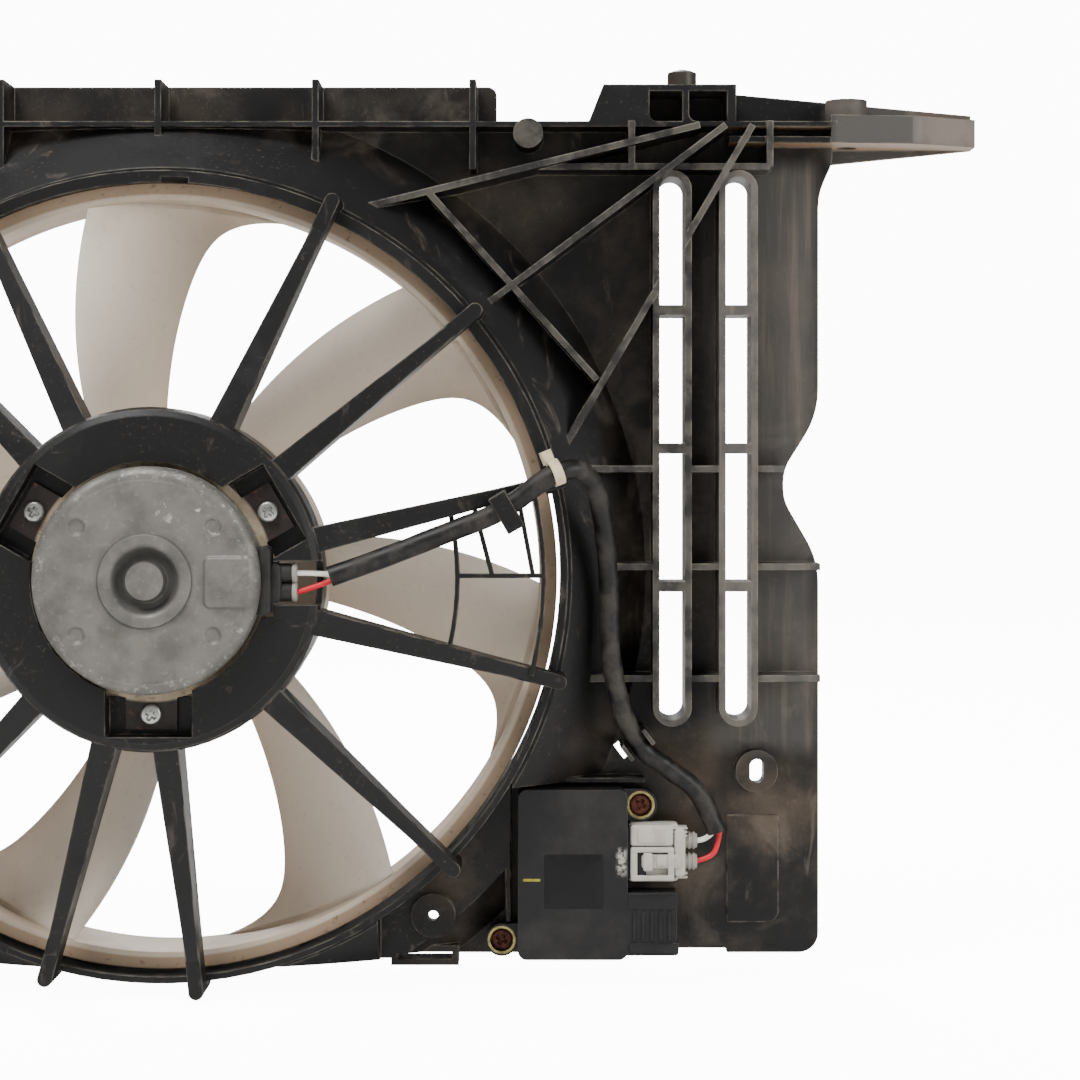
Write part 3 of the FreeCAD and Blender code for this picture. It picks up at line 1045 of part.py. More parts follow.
def make_controller():
    """The fan controller: case with ears and socket, cooled base, board, bushings and screws."""
    case_depth = ("case_rear_depth", "case_front_depth")
    outer = plate("case_outer", [
        (x, z, "case_corner_radius") for x, z in (("case_left", "case_low"), ("case_right", "case_low"),
                                                  ("case_right", "case_high"), ("case_left", "case_high"))],
        case_depth)
    inside = block("case_inside", ("case_left + case_wall", "case_right - case_wall"),
                   ("case_rear_depth - 1", "case_front_depth - case_wall"),
                   ("case_low + case_wall", "case_high - case_wall"))
    ear_depth = ("case_rear_depth", "case_rear_depth + ear_thick")
    ears = [round_bar(f"ear_{name}", "ear_radius", ear_depth, f"ear_{name}_x", f"ear_{name}_z")
            for name in ("high", "low")]
    ears.append(block("ear_web_high", ("case_right - case_wall", "ear_high_x"), ear_depth,
                      ("ear_high_z - ear_radius", "ear_high_z + ear_radius")))
    ears.append(block("ear_web_low", ("ear_low_x", "case_left + case_wall"), ear_depth,
                      ("case_low + case_corner_radius", "ear_low_z + ear_radius")))
    socket = block("socket_shell", ("socket_left - case_wall / 2", "socket_right"),
                   ("socket_rear_depth", "case_front_depth"), ("socket_low", "socket_high"))
    mouth = block("socket_mouth", ("socket_right - socket_deep", "socket_right + 1"),
                  ("socket_rear_depth + socket_wall", "case_front_depth - socket_wall"),
                  ("socket_low + socket_wall", "socket_high - socket_wall"))
    header = block("plug_header", ("case_right - case_wall / 2", "plug_left + header_long"),
                   ("plug_rear_depth + plug_wall + fit_gap", "plug_front_depth - plug_wall - fit_gap"),
                   ("plug_low + plug_wall + fit_gap", "plug_high - plug_wall - fit_gap"))
    holes = [round_bar(f"bushing_hole_{name}", "bushing_radius + fit_gap",
                       ("case_rear_depth - 1", "case_front_depth"), f"ear_{name}_x", f"ear_{name}_z")
             for name in ("high", "low")]
    hollow = cut("case_shell", fused("case_walls", [outer] + ears), [inside] + holes)
    node(cut("case", fused("case_with_sockets", [hollow, socket, header]), [mouth]), "controller_case")
    base_depth = ("case_rear_depth - base_plate", "case_rear_depth")
    base = [block("base_plate", ("case_left", "case_right"), base_depth,
                  ("case_low + case_corner_radius", "case_high - case_corner_radius"))]
    for number in range(int(size("fins"))):
        left = f"case_left + fin_inset + {number} * fin_pitch"
        base.append(block(f"fin_{number}", (left, f"{left} + fin_wall"),
                          (f"{base_depth[0]} - fin_deep", f"{base_depth[0]}"),
                          ("case_low + fin_inset + case_corner_radius", "case_high - fin_inset")))
    node(fused("cooled_base", base), "controller_base")
    board_depth = ("case_rear_depth + board_lift", "case_rear_depth + board_lift + board_thick")
    in_case = "(case_wall + board_gap)"
    pad = block("board_pad", ("case_left + pad_side", "case_right - pad_side"),
                ("case_rear_depth", board_depth[0]), ("case_low + pad_end", "case_high - pad_end"))
    node(block("board", (f"case_left + {in_case}", f"case_right - {in_case}"), board_depth,
               (f"case_low + {in_case}", f"case_high - {in_case}")), "controller_board")
    node(pad, "heat_pad")
    capacitor_depth = f"{board_depth[1]} + capacitor_radius"
    capacitors = [level_bar(f"capacitor_{number}", "capacitor_radius",
                            ("case_left + capacitor_side", "case_left + capacitor_side + capacitor_long"),
                            capacitor_depth, f"case_high - capacitor_drop - {number} * capacitor_pitch")
                  for number in range(2)]
    node(grouped("capacitor_set", capacitors), "controller_capacitors")
    pins = []
    for name, count, root, low, high, front in (
            ("socket", 2, "socket_right - socket_deep", "socket_low", "socket_high", "case_front_depth"),
            ("plug", 2, "plug_left + header_long", "plug_low", "plug_high", "plug_front_depth")):
        middle = f"({front} + {name}_rear_depth) / 2"
        for number in range(count):
            level = f"{low} + ({high} - {low}) * {number + 1} / {count + 1}"
            pins.append(block(f"{name}_pin_{number}", (root, f"{root} + terminal_long"),
                              (f"{middle} - terminal_thick / 2", f"{middle} + terminal_thick / 2"),
                              (f"{level} - terminal_wide / 2", f"{level} + terminal_wide / 2")))
    node(grouped("terminal_set", pins), "controller_terminals")
    bushings, screws = [], []
    for name in ("high", "low"):
        x, z = f"ear_{name}_x", f"ear_{name}_z"
        ring = round_bar(f"bushing_ring_{name}", "bushing_radius", ear_depth, x, z)
        head_start = "case_rear_depth + bushing_floor"
        bore = round_bar(f"bushing_bore_{name}", "screw_radius",
                         ("case_rear_depth - 1", "case_front_depth"), x, z)
        cup = round_bar(f"bushing_cup_{name}", "bushing_radius - bushing_wall",
                        (head_start, "case_front_depth"), x, z)
        bushings.append(cut(f"bushing_{name}", ring, [bore, cup]))
        head = round_bar(f"screw_head_{name}", "screw_head_radius",
                         (head_start, f"{head_start} + screw_head_high"), x, z)
        shank = round_bar(f"screw_shank_{name}", "screw_radius - fit_gap",
                          ("case_rear_depth + ear_thick - screw_deep", f"{head_start} + 1"), x, z)
        screws.append(fused(f"controller_screw_{name}", [head, shank]))
    node(grouped("bushing_set", bushings), "controller_bushings")
    node(grouped("controller_screw_set", screws), "controller_screws")


def make_plug():
    """The two-way plug on the controller, its lock, the two wire seals."""
    depth = ("plug_rear_depth", "plug_front_depth")
    body = block("plug_body", ("plug_left", "plug_right"), depth, ("plug_low", "plug_high"))
    hollow = block("plug_hollow", ("plug_left - 1", "plug_left + header_long + terminal_long + fit_gap"),
                   ("plug_rear_depth + plug_wall", "plug_front_depth - plug_wall"),
                   ("plug_low + plug_wall", "plug_high - plug_wall"))
    window = ("latch_window_left", "latch_window_right")
    levels = ("latch_window_low", "latch_window_high")
    recess = block("latch_window", window, ("plug_front_depth - plug_wall", "plug_front_depth + 1"), levels)
    node(cut("plug", body, [hollow, recess]), "plug_housing")
    key = block("latch", (f"{window[0]} + latch_key_gap", f"{window[1]} - latch_key_gap"),
                ("plug_front_depth - plug_wall - fit_gap", "plug_front_depth + latch_rise"),
                (f"{levels[0]} + latch_key_gap", f"{levels[1]} - latch_key_gap"))
    node(key, "plug_lock")
    middle = "(plug_front_depth + plug_rear_depth) / 2"
    seals = []
    for name in ("high", "low"):
        collar = level_bar(f"seal_{name}", "seal_radius", ("plug_right", "plug_right + seal_long"), middle,
                           f"seal_{name}_level")
        seals.append(collar)
    return node(grouped("seal_set", seals), "plug_seals")


def cord(name, points, radius):
    """A round cord along straight runs joined by tangent arcs."""
    corners = [Vector(x, -depth, z) for x, depth, z in points]
    edges = []
    last = corners[0]
    radii = []
    for number in range(1, len(points) - 1):
        start, middle, end, bend = route_bend(points, number)
        radii.append(round(bend, 1))
        edges.append(Part.LineSegment(last, start).toShape())
        edges.append(Part.Arc(start, middle, end).toShape())
        last = end
    edges.append(Part.LineSegment(last, corners[-1]).toShape())
    path = Part.Wire(edges)
    ring = Part.Wire([Part.Circle(corners[0], corners[1] - corners[0], radius).toShape()])
    tube = path.makePipeShell([ring], True, False)
    print(name, "bend radii", radii, "volume over section times length",
          round(tube.Volume / (math.pi * radius ** 2 * path.Length), 4), "length", round(path.Length, 1))
    item = document.addObject("Part::Feature", name)
    item.Shape = tube
    return item


def make_harness(seals):
    """The lead out of the motor: grommet, two wires, sleeve and the tie at the barrel."""
    middle = "grommet_depth"
    cap = block("cap", ("can_radius - 2 * can_rim_radius", "cap_right"),
                ("cap_rear_depth", "cap_front_depth"), ("cap_low", "cap_high"))
    can = round_bar("cap_seat", "can_radius + press_gap", ("cap_rear_depth - 1", "cap_front_depth + 1"))
    tubes = [level_bar(f"grommet_{name}_tube", "grommet_radius", ("cap_right - 1", "grommet_right"),
                       middle, f"grommet_{name}") for name in ("high", "low")]
    tongue = block("lead_tongue", ("can_radius - can_rim_radius", "cap_right - 1"),
                   ("lead_front_depth + fit_gap", "lead_rear_depth - fit_gap"),
                   ("lead_low + fit_gap", "lead_high - fit_gap"))
    grommet = node(fused("grommet", [cut("seated_cap", cap, [can]), tongue] + tubes), "motor_lead_grommet")
    sleeve = node(cord("sleeve", SLEEVE_ROUTE, size("sleeve_radius")), "harness_sleeve")
    for name, ends in WIRE_ENDS.items():
        runs = [cord(f"{name}_{number}", points, size("wire_radius")) for number, points in enumerate(ends)]
        runs[0] = cut(f"{name}_motor_end", runs[0], [grommet, sleeve])
        runs[1] = cut(f"{name}_plug_end", runs[1], [seals, sleeve])
        node(grouped(name + "_runs", runs), name)
    node(cable_tie(sleeve.Shape), "cable_tie")


def cable_tie(sleeve):
    """The tie round the sleeve where it crosses the barrel, its square head to the engine."""
    start, middle, end, _ = route_bend(SLEEVE_ROUTE, TIE_NUMBER)
    run = (end - start).normalize()
    wide, thick, head_size = size("tie_wide"), size("tie_thick"), size("tie_head")
    bore = size("sleeve_radius + tie_gap")
    foot = middle - run * wide / 2
    band = Part.makeCylinder(bore + thick, wide, foot, run)
    out = Vector(0, -1, 0).cross(run).normalize()
    turn = FreeCAD.Rotation(out, run, run.cross(out), "XYZ")
    head = Part.makeBox(head_size, wide, head_size)
    head.Placement = FreeCAD.Placement(foot + out * bore + run.cross(out) * -head_size / 2, turn)
    hole = Part.makeCylinder(bore, 2 * wide, middle - run * wide, run)
    item = document.addObject("Part::Feature", "tie_band")
    item.Shape = band.fuse(head).cut(hole).cut(sleeve).removeSplitter()
    return item


def check_and_export():
    """Stops at any failed object or shape, then writes one file for each sub-part."""
    document.recompute()
    failed = [item.Label for item in document.Objects
              if "Invalid" in item.State or "Error" in item.State]
    if failed:
        raise RuntimeError("failed objects: " + ", ".join(failed))
    os.makedirs("parts", exist_ok=True)
    for item in nodes:
        if item.Shape.isNull() or not item.Shape.isValid() or not item.Shape.Solids:
            raise RuntimeError("no valid solid in " + item.Label)
        item.Shape.exportStep(f"parts/{item.Label}.step")
        print(item.Label, len(item.Shape.Solids), "solid(s),", round(item.Shape.Volume / 1000, 1), "cm3")


make_shroud()
make_fan()
make_motor_housing()
make_motor_inside()
make_controller()
make_harness(make_plug())
check_and_export()
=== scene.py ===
"""Looks of a car's cooling fan module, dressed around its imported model.

Every length in the classes below is in millimetres and is turned to metres where a mesh is made.
The frame is the model's own: the fan axis is Y, +Y points to the radiator, +X to the right as seen
from the engine and +Z up. "Depth" is the distance from the radiator rim towards the engine, so a
point at depth d lies at Y = -d. Points are written as (X, depth, Z).
"""
import logging
import math
from dataclasses import dataclass, field
from enum import Enum

import bmesh
import bpy
import numpy as np
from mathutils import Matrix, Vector


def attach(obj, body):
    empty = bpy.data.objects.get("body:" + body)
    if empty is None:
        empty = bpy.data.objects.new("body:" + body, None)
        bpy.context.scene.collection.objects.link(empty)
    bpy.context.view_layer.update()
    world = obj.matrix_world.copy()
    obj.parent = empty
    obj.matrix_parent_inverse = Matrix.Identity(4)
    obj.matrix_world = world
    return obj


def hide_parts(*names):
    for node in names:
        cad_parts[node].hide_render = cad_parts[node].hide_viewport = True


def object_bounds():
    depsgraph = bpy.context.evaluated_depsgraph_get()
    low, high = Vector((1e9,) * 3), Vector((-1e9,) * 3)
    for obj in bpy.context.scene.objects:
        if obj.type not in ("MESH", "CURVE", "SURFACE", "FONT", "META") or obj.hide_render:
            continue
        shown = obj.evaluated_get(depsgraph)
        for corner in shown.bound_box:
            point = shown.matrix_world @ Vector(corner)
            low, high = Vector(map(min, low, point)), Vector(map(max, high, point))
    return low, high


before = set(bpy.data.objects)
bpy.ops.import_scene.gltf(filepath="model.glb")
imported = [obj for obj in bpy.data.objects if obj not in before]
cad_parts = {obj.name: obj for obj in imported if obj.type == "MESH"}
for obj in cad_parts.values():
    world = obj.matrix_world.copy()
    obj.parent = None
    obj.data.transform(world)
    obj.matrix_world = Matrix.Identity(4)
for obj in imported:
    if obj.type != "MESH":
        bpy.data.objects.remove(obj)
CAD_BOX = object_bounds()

MM = 0.001
Socket = bpy.types.NodeSocket
# Half is the full mirror share of a plastic's index. Old, dusty plastic shows less.
OLD_SHEEN = 0.26
log = logging.getLogger("cooling_module")


class Body(Enum):
    """The two bodies of the model that a piece can ride on."""

    SHROUD = "shroud"
    ROTOR = "fan_rotor"


def linear(colour: str) -> tuple[float, float, float, float]:
    """Turns an sRGB hex colour to linear light.

    Args:
        colour: Six hex digits after a hash sign.

    Returns:
        Red, green, blue and an alpha of one.
    """
    channels = np.array([int(colour[place:place + 2], 16) for place in (1, 3, 5)]) / 255
    straight = np.where(channels <= 0.04045, channels / 12.92, ((channels + 0.055) / 1.055) ** 2.4)
    return (*map(float, straight), 1.0)


def per_metre(size: float) -> float:
    """The scale that gives a pattern a feature of this size in millimetres."""
    return 1 / (size * MM)


def add_node(tree: bpy.types.NodeTree, kind: str, inputs: dict | None = None,
             **settings) -> bpy.types.Node:
    """Adds a node with its settings and links.

    Args:
        tree: The node tree of a material.
        kind: The node's type.
        inputs: For each socket, by name or number, a plain value or the output that feeds it.
        **settings: Properties of the node itself.

    Returns:
        The new node.
    """
    node = tree.nodes.new(kind)
    for name, value in settings.items():
        setattr(node, name, value)
    for socket, value in (inputs or {}).items():
        if isinstance(value, Socket):
            tree.links.new(value, node.inputs[socket])
        else:
            node.inputs[socket].default_value = value
    return node


def product(tree: bpy.types.NodeTree, *factors) -> Socket | float:
    """The product of one or more sockets or numbers."""
    total = factors[0]
    for factor in factors[1:]:
        total = add_node(tree, "ShaderNodeMath", {0: total, 1: factor}, operation="MULTIPLY").outputs[0]
    return total


@dataclass
class Coat:
    """A material that is painted layer by layer.

    Attributes:
        name: The material's name.
        base: The colour under all the layers.
        metallic: Zero for plastics, one for bare metals.
        ior: Index of refraction, or None for a metal, which keeps the default.
    """

    name: str
    base: str
    metallic: float = 0.0
    ior: float | None = None

    def __post_init__(self) -> None:
        """Makes the material, its shader and its Object coordinates."""
        self.material = bpy.data.materials.new(self.name)
        self.material.use_nodes = True
        self.tree = self.material.node_tree
        self.shader = self.tree.nodes["Principled BSDF"]
        self.shader.inputs["Metallic"].default_value = self.metallic
        if self.ior is not None:
            self.shader.inputs["IOR"].default_value = self.ior
            self.shader.inputs["Specular IOR Level"].default_value = OLD_SHEEN
        self.point = self.node("ShaderNodeTexCoord").outputs["Object"]
        self.colour = linear(self.base)

    def node(self, kind: str, inputs: dict | None = None, **settings) -> bpy.types.Node:
        """Adds a node to this material, as add_node does."""
        return add_node(self.tree, kind, inputs, **settings)

    def ramp(self, value: Socket, start: float, end: float, low: float = 0.0, high: float = 1.0,
             smooth: bool = False) -> Socket:
        """Turns a value that goes from start to end into one that goes from low to high and stays there."""
        limits = {"Value": value, "From Min": start, "From Max": end, "To Min": low, "To Max": high}
        kind = "SMOOTHSTEP" if smooth else "LINEAR"
        return self.node("ShaderNodeMapRange", limits, interpolation_type=kind).outputs[0]

    def attribute(self, name: str) -> Socket:
        """A number that the mesh holds for each point."""
        return self.node("ShaderNodeAttribute", attribute_name=name).outputs["Fac"]

    def reach(self) -> Socket:
        """The distance from the fan axis."""
        apart = self.node("ShaderNodeSeparateXYZ", {0: self.point}).outputs
        flat = self.node("ShaderNodeCombineXYZ", {0: apart[0], 2: apart[2]})
        return self.node("ShaderNodeVectorMath", {0: flat.outputs[0]}, operation="LENGTH").outputs["Value"]

    def patches(self, size: float, edges: tuple[float, float], detail: float = 4.0, shift: float = 0.0,
                stretch: tuple[float, float, float] = (1, 1, 1), turn: float = 0.0,
                warp: float = 0.0) -> Socket:
        """Cloudy patches, as a mask that rises smoothly from zero to one.

        Args:
            size: How large a patch is, in millimetres.
            edges: Where the noise starts to show and where it is full.
            detail: How many finer octaves ride on it.
            shift: Moves the pattern along, so that two masks differ.
            stretch: How much finer the pattern is along each axis.
            turn: Turns the pattern round the fan axis, in degrees.
            warp: How much the noise bends itself, for wisps.
        """
        where = self.node("ShaderNodeMapping", {"Vector": self.point, "Location": (shift, shift, shift),
                                                "Rotation": (0, math.radians(turn), 0), "Scale": stretch})
        noise = self.node("ShaderNodeTexNoise", {"Vector": where.outputs[0], "Scale": per_metre(size),
                                                 "Detail": detail, "Roughness": 0.6, "Distortion": warp})
        return self.ramp(noise.outputs[0], *edges, smooth=True)

    def zone(self, x: tuple | None = None, depth: tuple | None = None, z: tuple | None = None,
             soft: float = 3.0) -> Socket:
        """A mask that is one inside a box of the model.

        Args:
            x: Lowest and highest X in millimetres, or None for all.
            depth: Lowest and highest depth, or None.
            z: Lowest and highest Z, or None.
            soft: How far the mask fades on either side of a face, in millimetres.
        """
        apart = self.node("ShaderNodeSeparateXYZ", {0: self.point}).outputs
        limits = (x, depth and (-depth[1], -depth[0]), z)
        masks = [self.ramp(apart[axis], (edge - fade) * MM, (edge + fade) * MM, smooth=True)
                 for axis, limit in enumerate(limits) if limit
                 for edge, fade in zip(limit, (soft, -soft))]
        return product(self.tree, *masks)

    def edges(self, rounding: float, wear: tuple[float, float]) -> tuple[Socket, Socket]:
        """Rounds sharp edges for the light and finds where they are.

        Args:
            rounding: Radius of the softened edge, in millimetres.
            wear: How far the softened normal leaves the true one where wear starts and is full.

        Returns:
            The softened normal and the mask of worn edges.
        """
        soft = self.node("ShaderNodeBevel", {"Radius": rounding * MM}, samples=4).outputs[0]
        true = self.node("ShaderNodeNewGeometry").outputs["Normal"]
        match = self.node("ShaderNodeVectorMath", {0: soft, 1: true}, operation="DOT_PRODUCT")
        return soft, self.ramp(match.outputs["Value"], 1 - wear[0], 1 - wear[1])

    def lay(self, colour: str, *masks) -> None:
        """Lays a colour over those so far, through the product of the masks, sockets or numbers."""
        mix = self.node("ShaderNodeMix", {0: product(self.tree, *masks), 6: self.colour, 7: linear(colour)},
                        data_type="RGBA")
        self.colour = mix.outputs[2]

    def finish(self, rough_mask: Socket, rough: tuple[float, float], grain: tuple[float, float],
               normal: Socket | None = None) -> bpy.types.Material:
        """Links colour, roughness and a fine grain to the shader.

        Args:
            rough_mask: Where the surface is rougher.
            rough: Roughness at a mask of zero and of one.
            grain: Size and height of the grain in millimetres.
            normal: A softened normal that the grain rides on.

        Returns:
            The finished material.
        """
        noise = self.node("ShaderNodeTexNoise", {"Vector": self.point, "Scale": per_metre(grain[0]),
                                                 "Detail": 3.0})
        relief = self.node("ShaderNodeBump", {"Height": noise.outputs[0], "Strength": 0.35,
                                              "Distance": grain[1] * MM})
        if normal is not None:
            self.tree.links.new(normal, relief.inputs["Normal"])
        self.tree.links.new(self.colour, self.shader.inputs["Base Color"])
        self.tree.links.new(self.ramp(rough_mask, 0, 1, *rough), self.shader.inputs["Roughness"])
        self.tree.links.new(relief.outputs[0], self.shader.inputs["Normal"])
        return self.material


@dataclass(frozen=True)
class MouldedPlastic:
    """Injection-moulded plastic that has aged under a bonnet.

    The eye reads a dark or coloured base with a fine moulded grain, dry dust in clouds and upright
    runs, and paler edges where it has been rubbed.
    """

    name: str
    base: str
    dust: str
    edge: str
    ior: float = 1.49
    roughness: tuple[float, float] = (0.5, 0.75)
    cloud_size: float = 70.0
    cloud_strength: float = 0.5
    run_strength: float = 0.35
    # Real moulded grain is about 0.2 mm, too fine to show here, so it is drawn at 0.7 mm.
    grain: tuple[float, float] = (0.7, 0.04)
    rounding: float = 0.6
    edge_strength: float = 0.5
    # Lowest and highest X, and lowest and highest Z, of a place that has been rubbed pale.
    rub: tuple | None = None
    rub_colour: str = "#b9b4aa"

    def material(self) -> bpy.types.Material:
        """Builds the finish as a material."""
        coat = Coat(self.name, self.base, ior=self.ior)
        clouds = coat.patches(self.cloud_size, (0.42, 0.75), detail=6)
        runs = coat.patches(9, (0.5, 0.8), shift=3.1, stretch=(1, 1, 0.09))
        normal, worn = coat.edges(self.rounding, (0.04, 0.3))
        coat.lay(self.dust, clouds, self.cloud_strength)
        coat.lay(self.dust, runs, clouds, self.run_strength)
        coat.lay(self.edge, worn, self.edge_strength)
        if self.rub is not None:
            rubbed = coat.patches(2.5, (0.4, 0.6), detail=6, shift=1.3)
            coat.lay(self.rub_colour, rubbed, coat.zone(x=self.rub[0], z=self.rub[1], soft=1.5), 0.8)
        return coat.finish(clouds, self.roughness, self.grain, normal)


@dataclass(frozen=True)
class ShroudPlastic:
    """Black glass-filled polypropylene, moulded, after years beside an engine.

    The eye reads near-black walls, rib tops rubbed grey, pocket floors under brown dust with hazy
    patches and wisps, a paler panel right of the air slots that is partly dust and partly painted
    light, with upright streaks on it, and rust-brown dirt under the arms.
    """

    name: str = "glass_filled_polypropylene_moulded"
    base: str = "#121111"
    floor: str = "#40382f"
    haze: str = "#75695d"
    brown: str = "#5b4a3a"
    rust: str = "#8a7058"
    edge: str = "#98907f"
    rubbed: str = "#6b655c"
    paler_grey: str = "#5d5955"
    # A paler grey for the arm, the rib tops and the panel right of the air slots. On that panel it is partly
    # dust and partly painted light.
    ior: float = 1.49

    def material(self) -> bpy.types.Material:
        """Builds the finish as a material: first the masks, then the layers from the floor up."""
        coat = Coat(self.name, self.base, ior=self.ior)
        normal, worn = coat.edges(1.0, (0.03, 0.15))
        facing = coat.node("ShaderNodeSeparateXYZ",
                           {0: coat.node("ShaderNodeNewGeometry").outputs["Normal"]}).outputs
        below = coat.ramp(facing[2], -0.3, -0.7)
        # The radiator side keeps a quarter of the pockets' dirt.
        open_side = coat.ramp(facing[1], 0.5, -0.2, low=0.25)
        to_engine = coat.ramp(facing[1], -0.8, -0.95)

        edge_wear = coat.patches(11, (0.36, 0.62), detail=6, shift=5.5)
        clouds = coat.patches(60, (0.4, 0.68), detail=7)
        haze = coat.patches(34, (0.5, 0.74), detail=8, shift=2.7, warp=0.6)
        wisps = coat.patches(15, (0.6, 0.74), detail=8, shift=9.1, stretch=(1, 1, 0.4), turn=25, warp=1.2)
        scratches = coat.patches(3.4, (0.58, 0.74), detail=6, shift=4.3, stretch=(0.2, 1, 1), turn=38,
                                 warp=0.7)
        streaks = coat.patches(4.5, (0.46, 0.72), detail=5, shift=1.9, stretch=(1, 1, 0.05))
        grit = coat.patches(1.6, (0.6, 0.74), detail=2, shift=7.7)

        floors = coat.zone(depth=(18, 34), soft=5)
        streaked = coat.zone(x=(243, 292), z=(-80, 185), soft=6)
        dirty = coat.zone(x=(120, 168), depth=(10, 60), z=(-150, -52), soft=14)
        corner = coat.zone(x=(150, 300), depth=(10, 45), z=(-175, -60), soft=12)
        under_arm = coat.zone(x=(250, 368), depth=(8, 43), z=(184, 209.5), soft=2)
        arm = coat.zone(x=(298, 340), z=(186, 215), soft=3)
        arm_tip = coat.zone(x=(336, 368), soft=3)
        rib_level = coat.zone(depth=(43, 51.5), soft=1)

        coat.lay(self.floor, floors, open_side, clouds, 0.9)
        coat.lay(self.haze, floors, open_side, haze, 0.42)
        coat.lay(self.haze, wisps, 0.3)
        coat.lay(self.haze, scratches, haze, 0.3)
        # The panel right of the air slots laid paler: partly dust, partly painted light on a slope that is
        # drawn flat.
        coat.lay(self.paler_grey, streaked, 0.5)
        coat.lay(self.paler_grey, arm, 0.5)
        coat.lay(self.haze, streaked, streaks, 0.4)
        coat.lay(self.paler_grey, rib_level, to_engine, 0.12)
        coat.lay(self.rubbed, rib_level, to_engine, edge_wear, 0.34)
        coat.lay(self.brown, dirty, haze, 0.6)
        coat.lay(self.brown, corner, clouds, 0.25)
        coat.lay(self.haze, grit, clouds, 0.25)
        coat.lay(self.rust, under_arm, below, 0.85)
        coat.lay(self.haze, arm_tip, clouds, 0.5)
        coat.lay(self.edge, worn, edge_wear, 0.6)
        return coat.finish(haze, (0.42, 0.68), (0.8, 0.05), normal)


@dataclass(frozen=True)
class FanPlastic:
    """Natural nylon, moulded, yellowed and dusty: the ring fan.

    The eye reads a matt beige that is browner towards each blade's radiator-side edge and in the
    ring. The blades' own "across" attribute runs from zero at that edge to one at the engine side.
    """

    name: str = "natural_nylon_moulded"
    pale: str = "#dcd1c2"
    dark: str = "#b9aa98"
    ring: str = "#8a745d"
    soot: str = "#4f4236"
    ior: float = 1.53

    def material(self) -> bpy.types.Material:
        """Builds the finish as a material."""
        coat = Coat(self.name, self.dark, ior=self.ior)
        reach = coat.reach()
        rim = coat.ramp(reach, 168.6 * MM, 169.6 * MM)
        near_rim = coat.ramp(reach, 140 * MM, 169 * MM, smooth=True)
        clouds = coat.patches(45, (0.35, 0.7), detail=6)
        specks = coat.patches(3, (0.56, 0.74), detail=5, shift=2.1)
        coat.lay(self.pale, coat.attribute("across"))
        coat.lay(self.dark, clouds, 0.22)
        coat.lay(self.ring, near_rim, clouds, 0.35)
        coat.lay(self.soot, specks, 0.14)
        coat.lay(self.ring, rim, 0.9)
        coat.lay(self.soot, rim, specks, 0.6)
        return coat.finish(clouds, (0.5, 0.7), (0.9, 0.03))


@dataclass(frozen=True)
class PlatedSteel:
    """Turned, drawn or cast metal, plated or bare, and dulled by years of damp.

    The eye reads a soft metal with cloudy spangle and spots of oxide.
    """

    name: str
    base: str
    dull: str
    oxide: str
    roughness: float = 0.42
    spangle_size: float = 9.0
    spot_size: float = 3.0
    metallic: float = 0.85

    def material(self) -> bpy.types.Material:
        """Builds the finish as a material."""
        coat = Coat(self.name, self.base, metallic=self.metallic)
        spangle = coat.patches(self.spangle_size, (0.35, 0.7), detail=6)
        spots = coat.patches(self.spot_size, (0.6, 0.72), detail=5, shift=2.3)
        where = coat.patches(5 * self.spangle_size, (0.4, 0.65), detail=3, shift=5.9)
        normal, _ = coat.edges(0.5, (0.04, 0.3))
        coat.lay(self.dull, spangle)
        coat.lay(self.oxide, spots, where, 0.7)
        return coat.finish(spangle, (self.roughness, self.roughness + 0.18), (0.9, 0.03), normal)


@dataclass(frozen=True)
class MotorSteel:
    """The motor can's zinc-plated drawn steel, weathered to a matt grey.

    The eye reads a dull warm grey with soft darker clouds, fine pale oxide speckle that is densest
    at the upper right and on the rounded rim, and a few brown stains. The can's own "across"
    attribute carries painted shade on the steep slopes of the pressed outlines and dimples, and dirt
    with painted shade in the recess.
    """

    name: str = "zinc_plated_steel_weathered"
    base: str = "#6e6b66"
    dull: str = "#575550"
    oxide: str = "#b9b6af"
    stain: str = "#7d6a52"
    # The colour of the painted shade on the steep slopes, and of the dirt with painted shade in the recess.
    shade_and_dirt: str = "#1d1b19"

    def material(self) -> bpy.types.Material:
        """Builds the finish as a material."""
        coat = Coat(self.name, self.base, metallic=0.4)
        clouds = coat.patches(16, (0.35, 0.7), detail=7)
        fine = coat.patches(2.4, (0.55, 0.72), detail=6, shift=2.3)
        flecks = coat.patches(6, (0.6, 0.7), detail=8, shift=6.2, warp=0.8)
        stains = coat.patches(9, (0.62, 0.76), shift=8.8)
        upper = coat.zone(x=(8, 60), z=(14, 60), soft=16)
        rim = coat.ramp(coat.reach(), 43 * MM, 46 * MM)
        coat.lay(self.dull, clouds)
        coat.lay(self.oxide, fine, 0.12)
        coat.lay(self.oxide, fine, rim, 0.5)
        coat.lay(self.oxide, flecks, upper, 0.85)
        coat.lay(self.stain, stains, 0.3)
        # Painted shade on the steep slopes, and dirt with painted shade in the recess, where the can's
        # "across" attribute gives them.
        coat.lay(self.shade_and_dirt, coat.attribute("across"))
        return coat.finish(clouds, (0.5, 0.66), (0.8, 0.05))


